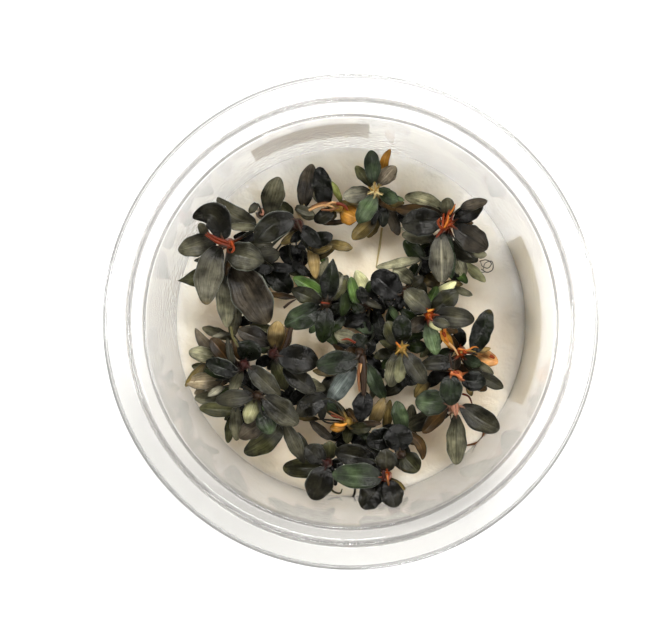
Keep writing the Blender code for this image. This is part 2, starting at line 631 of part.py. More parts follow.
def make_own_leaf(leaf, material):
    """A larger leaf as a piece of its own, starting just clear of its stalk's end."""
    start = FIT_GAP / leaf.length + SLOPE_STEP
    points, faces = skin(leaf.blade_rings(leaf.blade_stations(start)), leaf.tip_point())
    return object_from(leaf.name, points, faces, material)


def make_cup(material):
    return turned("cup", CUP_OUTSIDE + CUP_INSIDE, CUP_SEGMENTS, material)


def make_gel(material, cutter_material):
    """The disc of jelly, with a shallow socket under the foot of each stem."""
    (low_radius, low_height), (high_radius, high_height) = CUP_WALL
    lean = (high_radius - low_radius) / (high_height - low_height)
    floor_radius = CUP_FLOOR_RADIUS - GEL_GAP
    wall_low = low_radius - GEL_GAP
    rim_height = GEL_TOP + GEL_RIM_HEIGHT
    wall_high = low_radius + lean * (rim_height - low_height) - GEL_GAP
    outline = (
        (0.0, GEL_FLOOR), (floor_radius, GEL_FLOOR), (wall_low, low_height + GEL_GAP),
        (wall_high, rim_height), (wall_high - GEL_RIM_WIDTH, GEL_TOP), (0.0, GEL_TOP),
    )
    gel = turned("gel", outline, GEL_SEGMENTS, material)
    rings_at = (GEL_TOP - SOCKET_DEPTH, GEL_TOP + 1.0)
    points = []
    faces = []
    for _, (stem_x, stem_y), _ in PLANTLETS.values():
        foot_x, foot_y, _ = on_sight_line(stem_x, stem_y, GEL_TOP)
        first = len(points)
        for height in rings_at:
            for step in range(SOCKET_SIDES):
                angle = math.tau * step / SOCKET_SIDES
                radius = STEM_FOOT_RADIUS + 2 * FIT_GAP
                points.append((foot_x + radius * math.cos(angle), foot_y + radius * math.sin(angle), height))
        faces.append(tuple(first + step for step in range(SOCKET_SIDES)))
        faces.append(tuple(first + SOCKET_SIDES + step for step in reversed(range(SOCKET_SIDES))))
        for step in range(SOCKET_SIDES):
            after = (step + 1) % SOCKET_SIDES
            low = first + step
            faces.append((low, first + after, first + SOCKET_SIDES + after, low + SOCKET_SIDES))
    sockets = object_from("sockets", points, faces, cutter_material)
    sockets.hide_render = True
    sockets.display_type = "WIRE"
    cut = gel.modifiers.new("cut_sockets", "BOOLEAN")
    cut.operation = "DIFFERENCE"
    cut.object = sockets
    cut.solver = "EXACT"
    cut.use_self = True
    return gel


def make_strip(name, spec, material):
    """A plain strip that follows the outside of the leaning wall."""
    first_angle, last_angle, low, high = spec
    (low_radius, low_height), (high_radius, high_height) = CUP_WALL_OUTSIDE
    lean = (high_radius - low_radius) / (high_height - low_height)
    steps = round((last_angle - first_angle) / STRIP_STEP_DEGREES)
    rings = []
    for step in range(steps + 1):
        angle = math.radians(first_angle + (last_angle - first_angle) * step / steps)
        ring = []
        for height, thickness in ((low, 0.0), (low, STRIP_THICKNESS), (high, STRIP_THICKNESS), (high, 0.0)):
            radius = low_radius + lean * (height - low_height) + STRIP_GAP + thickness
            ring.append((radius * math.cos(angle), radius * math.sin(angle), height))
        rings.append(ring)
    return object_from(name, *skin(rings, None), material)


def build():
    remove_everything()
    cup_material = plain_material("clear_plastic", "EFEFEB", 0.22, 0.85, 1.49)
    gel_material = plain_material("culture_gel", "E2DCCB", 0.18, 0.55, 1.34)
    strip_material = plain_material("label_paper", "A89A88", 0.6)
    leaf_materials = {}
    for tone, (code, roughness) in TONES.items():
        leaf_materials[tone] = plain_material(f"leaf_{tone}", code, roughness)
    stem_materials = {}
    for tone, code in STEM_COLOURS.items():
        stem_materials[tone] = plain_material(f"stem_{tone}", code, 0.4)
    make_cup(cup_material)
    make_gel(gel_material, gel_material)
    for name, spec in STRIPS.items():
        make_strip(name, spec, strip_material)
    leaves = read_leaves()
    stem_tops = settle(leaves)
    for plantlet, (tone, _, _) in PLANTLETS.items():
        grown = [leaf for leaf in leaves if leaf.plantlet == plantlet]
        make_stem(plantlet, grown, stem_tops[plantlet], stem_materials[tone])
    for leaf in leaves:
        if leaf.own:
            make_own_leaf(leaf, leaf_materials[leaf.tone])


build()
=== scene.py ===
import math
import random

import bmesh
import bpy
import numpy as np
from mathutils import Matrix, Vector, noise


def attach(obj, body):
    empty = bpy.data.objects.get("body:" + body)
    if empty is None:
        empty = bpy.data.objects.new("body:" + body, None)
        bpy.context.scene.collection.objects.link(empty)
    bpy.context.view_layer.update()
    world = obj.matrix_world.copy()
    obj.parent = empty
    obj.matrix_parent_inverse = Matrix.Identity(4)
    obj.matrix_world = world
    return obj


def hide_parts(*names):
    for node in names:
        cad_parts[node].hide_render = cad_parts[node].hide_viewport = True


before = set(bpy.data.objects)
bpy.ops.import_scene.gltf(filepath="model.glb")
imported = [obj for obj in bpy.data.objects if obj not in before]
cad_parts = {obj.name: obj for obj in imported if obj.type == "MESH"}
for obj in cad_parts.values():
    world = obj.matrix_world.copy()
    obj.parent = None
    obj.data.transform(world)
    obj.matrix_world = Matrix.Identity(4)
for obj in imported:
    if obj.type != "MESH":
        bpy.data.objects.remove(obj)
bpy.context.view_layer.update()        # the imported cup, jelly, strips, stems and leaves

mm = 0.001
chance = random.Random(11)

# The eye stands straight above the cup, and plan positions are read in mm on one level plane as it sees them
eye = {
    "height": 543.0,          # above the table
    "readingHeight": 25.0,    # plane that plan positions are read on
    "focalPixels": 2485.0,
    "axisPixel": (350.8, 321.8),
    "imageSize": (665, 638),
    "sensor": 36.0,
}


def onSightLine(x, y, z):    # real place of a reading, at height z
    nearness = (eye["height"] - z) / (eye["height"] - eye["readingHeight"])
    return Vector((x * nearness, y * nearness, z))


# Shared helpers


def linear(code, alpha=1.0):    # sRGB hex to linear
    values = []
    for place in (0, 2, 4):
        part = int(code[place:place + 2], 16) / 255
        values.append(part / 12.92 if part <= 0.04045 else ((part + 0.055) / 1.055) ** 2.4)
    return (*values, alpha)


def addNode(material, kind, settings=None, inputs=None):    # a node with its settings, values and links
    node = material.node_tree.nodes.new(kind)
    for name, value in (settings or {}).items():
        setattr(node, name, value)
    for name, value in (inputs or {}).items():
        if isinstance(value, bpy.types.NodeSocket):
            material.node_tree.links.new(value, node.inputs[name])
        else:
            node.inputs[name].default_value = value
    return node


def newMaterial(name):
    material = bpy.data.materials.new(name)
    material.use_nodes = True
    return material, material.node_tree.nodes["Principled BSDF"]


def objectPlace(material):
    return addNode(material, "ShaderNodeTexCoord").outputs["Object"]


def splitAxes(material, place):
    return addNode(material, "ShaderNodeSeparateXYZ", None, {"Vector": place}).outputs


def readLayer(material, name):    # what a point layer of the mesh holds
    return addNode(material, "ShaderNodeAttribute", {"attribute_name": name}).outputs["Fac"]


def noiseField(material, place, scale, detail, extra=None):    # scale is in cells to a metre
    settings = {"Vector": place, "Scale": scale, "Detail": detail, **(extra or {})}
    return addNode(material, "ShaderNodeTexNoise", None, settings).outputs["Fac"]


def remap(material, value, low, high, atLow=0.0, atHigh=1.0, soft=True):    # soft eases both ends
    settings = {"interpolation_type": "SMOOTHSTEP" if soft else "LINEAR"}
    node = addNode(material, "ShaderNodeMapRange", settings, {
        "Value": value, "From Min": low, "From Max": high, "To Min": atLow, "To Max": atHigh})
    return node.outputs["Result"]


def compute(material, operation, *values, clamp=False):    # one step of arithmetic on numbers or sockets
    settings = {"operation": operation, "use_clamp": clamp}
    return addNode(material, "ShaderNodeMath", settings, dict(enumerate(values))).outputs[0]


def blend(material, share, first, second):    # between two colours, each sRGB hex or a socket
    first, second = (linear(colour) if isinstance(colour, str) else colour for colour in (first, second))
    return addNode(material, "ShaderNodeMix", {"data_type": "RGBA"}, {
        "Factor": share, 6: first, 7: second}).outputs[2]


def bumpFrom(material, height, strength, depth):    # depth in mm
    return addNode(material, "ShaderNodeBump", None, {
        "Height": height, "Strength": strength, "Distance": depth * mm}).outputs["Normal"]


def finishPiece(name, shape, materials, replaced):
    mesh = bpy.data.meshes.new(name)
    shape.to_mesh(mesh)
    shape.free()
    for material in materials:
        mesh.materials.append(material)
    piece = bpy.data.objects.new(name, mesh)
    bpy.context.scene.collection.objects.link(piece)
    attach(piece, "root")
    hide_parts(replaced)


def newShape():    # a bmesh with the layers that the plants' materials read
    shape = bmesh.new()
    shape.loops.layers.uv.new("blade")
    for name in ("shade", "rim", "rib", "wither", "fade"):
        shape.verts.layers.float.new(name)
    return shape


def joinInto(whole, part):
    carrier = bpy.data.meshes.new("carrier")
    part.to_mesh(carrier)
    part.free()
    whole.from_mesh(carrier)
    bpy.data.meshes.remove(carrier)


def roundedOutline(corners, radius, steps=4):    # each inner corner of an open outline becomes a small arc
    points = [Vector(corners[0])]
    for before, corner, after in zip(corners, corners[1:], corners[2:]):
        before, corner, after = Vector(before), Vector(corner), Vector(after)
        reach = min(radius, 0.45 * (before - corner).length, 0.45 * (after - corner).length)
        start = corner + (before - corner).normalized() * reach
        end = corner + (after - corner).normalized() * reach
        for step in range(steps + 1):
            share = step / steps
            points.append(start * (1 - share) ** 2 + corner * 2 * share * (1 - share) + end * share ** 2)
    points.append(Vector(corners[-1]))
    return points


def spunShape(outline, steps, startAngle=0.0, sweep=math.tau):    # turns an outline of (radius, height) in mm
    shape = bmesh.new()
    turn = Matrix.Rotation(startAngle, 3, "Z")
    corners = [shape.verts.new(turn @ Vector((point[0] * mm, 0.0, point[1] * mm))) for point in outline]
    edges = [shape.edges.new(pair) for pair in zip(corners, corners[1:])]
    full = sweep >= math.tau - 1e-6
    bmesh.ops.spin(shape, geom=corners + edges, cent=(0, 0, 0), axis=(0, 0, 1), angle=sweep, steps=steps,
                   use_merge=full, use_duplicate=False)
    bmesh.ops.remove_doubles(shape, verts=shape.verts, dist=1e-6)
    bmesh.ops.recalc_face_normals(shape, faces=shape.faces)
    for face in shape.faces:
        face.smooth = True
    return shape


# Cup: clear polypropylene with a milky cast, injection moulded

cup = {
    "outside": ((34.6, 0.0), (36.6, 0.8), (37.1, 2.4), (42.1, 39.0), (45.2, 39.4),
                (45.3, 42.0), (49.2, 42.1), (49.3, 41.2), (50.0, 41.2), (50.0, 43.0)),
    "inside": ((44.5, 43.0), (44.3, 40.3), (41.5, 40.2), (36.3, 2.4), (34.8, 1.1)),
    "floor": (0.0, 1.0),
    "corner": 0.5,
    "segments": 160,
    "innerLine": 0.03,    # how dark the painted shade line at each moulded corner is
}
cupWallInside = (cup["inside"][3], cup["inside"][2])
cupWallOutside = (cup["outside"][2], cup["outside"][3])


def wallRadius(wall, height):
    (lowRadius, lowHeight), (highRadius, highHeight) = wall
    return lowRadius + (highRadius - lowRadius) * (height - lowHeight) / (highHeight - lowHeight)


def makeCup(material):
    corners = ((0.0, 0.0), *cup["outside"], *cup["inside"], cup["floor"])
    shape = spunShape(roundedOutline(corners, cup["corner"]), cup["segments"])
    edge = shape.verts.layers.float.new("edge")    # strong at each moulded corner, for the painted shade line there
    for vertex in shape.verts:
        radius, height = math.hypot(vertex.co.x, vertex.co.y) / mm, vertex.co.z / mm
        away = min(math.hypot(radius - corner[0], height - corner[1]) for corner in corners[1:-1])
        vertex[edge] = cup["innerLine"] * max(0.0, 1 - away / cup["corner"])
    finishPiece("culture_cup", shape, [material], "cup")


def plasticMaterial():
    # Polypropylene, injection moulded and polished only on the flange: clear enough to see the strips behind
    # it, with a soft milky cast on the wall; painted shade greys its south side and draws a grey line at
    # each moulded corner and round the outer edge
    material, surface = newMaterial("polypropylene_injection_moulded")
    place = objectPlace(material)
    x, y, z = splitAxes(material, place)
    flowMarks = noiseField(material, place, 90.0, 3.0)    # 11 mm
    orangePeel = noiseField(material, place, 700.0, 2.0)    # 1.4 mm
    wall = remap(material, z, 38.5 * mm, 41.0 * mm, 1.0, 0.0)
    flange = compute(material, "SUBTRACT", 1.0, wall)
    polished = remap(material, flowMarks, 0.0, 1.0, 0.06, 0.12, soft=False)
    haze = compute(material, "MULTIPLY_ADD", wall, 0.07, polished)
    # painted shade: the wall is greyer towards the south
    wallSouthShade = remap(material, y, 2 * mm, -30 * mm)
    ground = blend(material, wall, "FDFCFB", blend(material, wallSouthShade, "FDFBF7", "ECE7DF"))
    leaning = compute(material, "MULTIPLY_ADD", x, 0.42, y)
    southern = remap(material, leaning, 2 * mm, -46 * mm)    # painted shade: the flange and its ledge are greyer towards the south
    flangeSouthShade = compute(material, "MULTIPLY", southern, flange)
    ledge = remap(material, z, 41.5 * mm, 42.8 * mm, 1.0, 0.0)
    southShaded = blend(material, flangeSouthShade, ground, blend(material, ledge, "DFDEDB", "D0CFCC"))
    collarFoot = remap(material, z, 36.4 * mm, 38.4 * mm)
    collarTop = remap(material, z, 40.0 * mm, 40.4 * mm, 1.0, 0.0)
    collar = compute(material, "MULTIPLY", collarFoot, collarTop)
    front = remap(material, y, -22 * mm, -39 * mm, 0.0, 0.6)
    turnShade = compute(material, "MULTIPLY", collar, front)    # painted shade where the wall turns into the ledge, on the south side
    turnShaded = blend(material, turnShade, southShaded, "8C8A86")
    # painted shade: a grey line at each moulded corner, for the dark edges a clear moulding shows
    corner = compute(material, "MULTIPLY", readLayer(material, "edge"), 0.95)
    cornerShaded = blend(material, corner, turnShaded, "848482")
    flat = addNode(material, "ShaderNodeVectorMath", {"operation": "MULTIPLY"}, {
        0: place, 1: (1.0, 1.0, 0.0)})
    outwards = addNode(material, "ShaderNodeVectorMath", {"operation": "LENGTH"}, {0: flat.outputs[0]})
    lip = remap(material, outwards.outputs["Value"], 49.25 * mm, 49.65 * mm)
    outerEdgeShaded = blend(material, lip, cornerShaded, "999997")    # painted shade: the thin grey outer edge
    beads = addNode(material, "ShaderNodeTexVoronoi", None, {
        "Vector": place, "Scale": 620.0, "Randomness": 1.0})    # 1.6 mm of condensation
    domes = remap(material, beads.outputs["Distance"], 0.05, 0.42, 1.0, 0.0)
    upperLeft = compute(material, "MULTIPLY_ADD", x, -0.8, y)
    damp = remap(material, upperLeft, 22 * mm, 40 * mm, 0.0, 9.0)
    low = remap(material, z, 14 * mm, 30 * mm, 1.0, 0.0)
    wetWall = compute(material, "MULTIPLY", damp, low)
    beaded = compute(material, "MULTIPLY_ADD", domes, wetWall, orangePeel)
    link = material.node_tree.links.new
    link(outerEdgeShaded, surface.inputs["Base Color"])
    link(haze, surface.inputs["Roughness"])
    link(bumpFrom(material, beaded, 0.1, 0.15), surface.inputs["Normal"])
    surface.inputs["Transmission Weight"].default_value = 0.9
    surface.inputs["IOR"].default_value = 1.49
    return material


# Jelly: agar set in the cup, drawn up a little along the wall and round each stem

jelly = {
    "floor": 1.3, "floorRadius": 34.4, "gap": 0.15,
    "shoulder": 2.7,                        # where the straight wall begins
    "top": 10.0, "rimHeight": 0.7, "rimWidth": 2.2,
    "segments": 144, "rings": 34,
    "wave": 0.22, "waveSize": 7.0,          # slow swell of the surface
    "crease": 0.096, "creaseSize": 2.4,     # wet creases
    "still": 3.0,                           # the swell and the creases fade out this close to the wall
    "collar": 0.45, "collarWidth": 1.7,     # how high and how far it is drawn up round a stem
}


def jellyTop(x, y):    # height of the wet surface at a real place, in mm
    radius = math.hypot(x, y)
    wall = wallRadius(cupWallInside, jelly["top"])
    rim = max(0.0, 1 - (wall - radius) / jelly["rimWidth"])
    swell = noise.noise(Vector((x, y, 3.0)) / jelly["waveSize"])
    crease = noise.noise(Vector((x, y, 9.0)) / jelly["creaseSize"])
    still = min(1.0, max(0.0, (wall - radius) / jelly["still"]))
    height = jelly["top"] + jelly["rimHeight"] * rim ** 2
    height += still * (jelly["wave"] * swell + jelly["crease"] * (1 - 2 * abs(crease)))
    for colour, (stemX, stemY), rows in plantlets.values():
        foot = onSightLine(stemX, stemY, jelly["top"])
        away = math.hypot(x - foot.x, y - foot.y)
        height += jelly["collar"] * math.exp(-(away / jelly["collarWidth"]) ** 2)
    return height


def makeJelly(material):
    wallLow = wallRadius(cupWallInside, jelly["shoulder"]) - jelly["gap"]
    rim = jelly["top"] + jelly["rimHeight"]
    wallHigh = wallRadius(cupWallInside, rim) - jelly["gap"]
    sides = [(0.0, jelly["floor"]), (jelly["floorRadius"], jelly["floor"]),
             (wallLow, jelly["shoulder"]), (wallHigh, rim)]
    across = [(wallHigh * (1 - ring / jelly["rings"]), rim) for ring in range(1, jelly["rings"] + 1)]
    shape = spunShape(sides + across, jelly["segments"])
    for vertex in shape.verts:
        if vertex.co.z > (rim - 0.1) * mm:
            vertex.co.z = jellyTop(vertex.co.x / mm, vertex.co.y / mm) * mm
    bmesh.ops.recalc_face_normals(shape, faces=shape.faces)
    finishPiece("agar_jelly", shape, [material], "gel")


def jellyMaterial():
    # Agar jelly, poured and set: milky beige with clearer grey patches, wet and glossy
    material, surface = newMaterial("agar_jelly_poured")
    place = objectPlace(material)
    clouds = noiseField(material, place, 75.0, 4.0)    # 13 mm
    grain = noiseField(material, place, 1500.0, 3.0)    # 0.7 mm
    wrinkles = noiseField(material, place, 180.0, 3.0, {"Distortion": 1.6})    # 6 mm
    away = addNode(material, "ShaderNodeVectorMath", {"operation": "LENGTH"}, {0: place}).outputs["Value"]
    # painted shade: the jelly is darker and warmer towards the wall and towards the south
    nearWallShade = remap(material, away, 24 * mm, 38 * mm)
    southJellyShade = remap(material, splitAxes(material, place)["Y"], 26 * mm, -16 * mm)
    ground = blend(material, nearWallShade, "CCB68C", blend(material, southJellyShade, "E8E1D4", "D8C6A8"))
    patched = blend(material, compute(material, "MULTIPLY", clouds, 0.65), ground, "FBF8F0")
    shore = remap(material, away, 26 * mm, 37 * mm, 0.8, 4.0)
    wrinkled = compute(material, "MULTIPLY_ADD", wrinkles, shore, grain)
    link = material.node_tree.links.new
    link(patched, surface.inputs["Base Color"])
    link(bumpFrom(material, wrinkled, 0.34, 0.6), surface.inputs["Normal"])
    surface.inputs["Roughness"].default_value = 0.1
    surface.inputs["IOR"].default_value = 1.34
    surface.inputs["Subsurface Weight"].default_value = 0.8
    surface.inputs["Subsurface Radius"].default_value = (9.0 * mm, 8.4 * mm, 7.2 * mm)
    surface.inputs["Subsurface Scale"].default_value = 1.0
    return material


# Plain strips of paper glued to the outside of the wall

strips = {
    "label_back": (84.5, 120.5, 19.0, 31.2, "F2E8E2", "FCF6F2"),    # angles, lower and upper edge, colours
    "label_right": (-26.0, 27.0, 3.5, 24.0, "EAD6B8", "FBEFD8"),
}
stripMake = {"off": 0.3, "thick": 0.25, "step": 1.0}


def makeStrip(name, spec, material):
    firstAngle, lastAngle, low, high = spec[:4]
    near = [wallRadius(cupWallOutside, height) + stripMake["off"] for height in (low, high)]
    thick = stripMake["thick"]
    outline = [(near[0], low), (near[0] + thick, low), (near[1] + thick, high), (near[1], high)]
    outline.append(outline[0])
    sweep = math.radians(lastAngle - firstAngle)
    steps = round((lastAngle - firstAngle) / stripMake["step"])
    shape = spunShape(outline, steps, math.radians(firstAngle), sweep)
    bmesh.ops.holes_fill(shape, edges=[edge for edge in shape.edges if edge.is_boundary], sides=8)
    bmesh.ops.recalc_face_normals(shape, faces=shape.faces)
    for face in shape.faces:
        face.smooth = False
    finishPiece("paper_" + name, shape, [material], name)


def paperMaterial(name, dark, light):
    # Uncoated label paper, pressed and glued: dull from its glued side, with a faint fibre
    material, surface = newMaterial("label_paper_pressed_" + name)
    place = objectPlace(material)
    fibre = addNode(material, "ShaderNodeTexNoise", None, {
        "Vector": place, "Scale": 1200.0, "Detail": 5.0, "Distortion": 1.5})    # 0.8 mm
    glue = noiseField(material, place, 120.0, 2.0)    # 8 mm
    flecked = addNode(material, "ShaderNodeMix", {"data_type": "RGBA", "blend_type": "SOFT_LIGHT"}, {
        "Factor": 0.35, 6: blend(material, glue, dark, light), 7: fibre.outputs["Color"]})
    link = material.node_tree.links.new
    link(flecked.outputs[2], surface.inputs["Base Color"])
    link(bumpFrom(material, fibre.outputs["Fac"], 0.3, 0.05), surface.inputs["Normal"])
    surface.inputs["Roughness"].default_value = 0.8
    surface.inputs["Subsurface Weight"].default_value = 0.9    # light comes through the thin paper
    surface.inputs["Subsurface Radius"].default_value = (1.4 * mm, 1.2 * mm, 1.0 * mm)
    surface.inputs["Subsurface Scale"].default_value = 1.0
    return material


# Plants

plants = {
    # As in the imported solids, so that each leaf settles at the same height
    "lowestLeaf": 12.0, "tierStep": 2.5, "thickness": 0.5, "clearance": 0.7, "wallClearance": 0.7,
    "fullness": 1.09, "bluntness": 0.52, "widest": 0.92, "edgeRaise": 0.16, "edgeMargin": 1.3, "arch": 0.11,
    "stalkWidth": 0.85, "stalkDrop": 0.32, "stalkTurn": 0.45, "deepestDrop": 1.6,
    "stemRadius": 1.05, "footRadius": 1.35, "stemCap": 0.5, "smallestSolid": 2.3,
    "cell": 0.4, "mapHalf": 50.0, "firstSample": 0.03, "bladeSamples": (26, 11), "stalkSamples": 16,
    # For the look alone
    "looseClearance": 0.3,    # of the small leaves, which nothing settles on
    "skin": 0.34,             # thickness of the blade that is shown
    "bluntTip": -0.14,        # widens the outer half of a blade
    "wobble": 0.045,          # how uneven its outline is
    "pointFrom": 0.8, "taperFrom": 0.35, "waistTo": 0.55, "hookFrom": 0.72, "tipDrop": 0.15,
    "footShare": 0.45, "longestFoot": 1.4,    # how far a blade runs on down its stalk
    "tierShade": (0.95, 1.05, 0.98, 0.62, 0.40, 0.28, 0.25),    # painted shade: upper leaves are darker, to offset the stronger light that falls on them
    "along": 22, "across": 10, "shortLeaf": 5.0, "fewerAlong": 8, "fewerAcross": 4,
    "crownGlow": 0.7, "glowFade": 1.9,    # how far the stem's own colour runs out along the stalks
    "stalkSteps": 8, "smallStalk": 0.62, "threadSteps": 6, "thinSides": 8,
    "stemFoot": 7.9, "stemSteps": 14, "stemSides": 10, "stemTip": 0.45, "sway": 0.25, "scar": 0.10,
}
mapSize = int(2 * plants["mapHalf"] / plants["cell"])

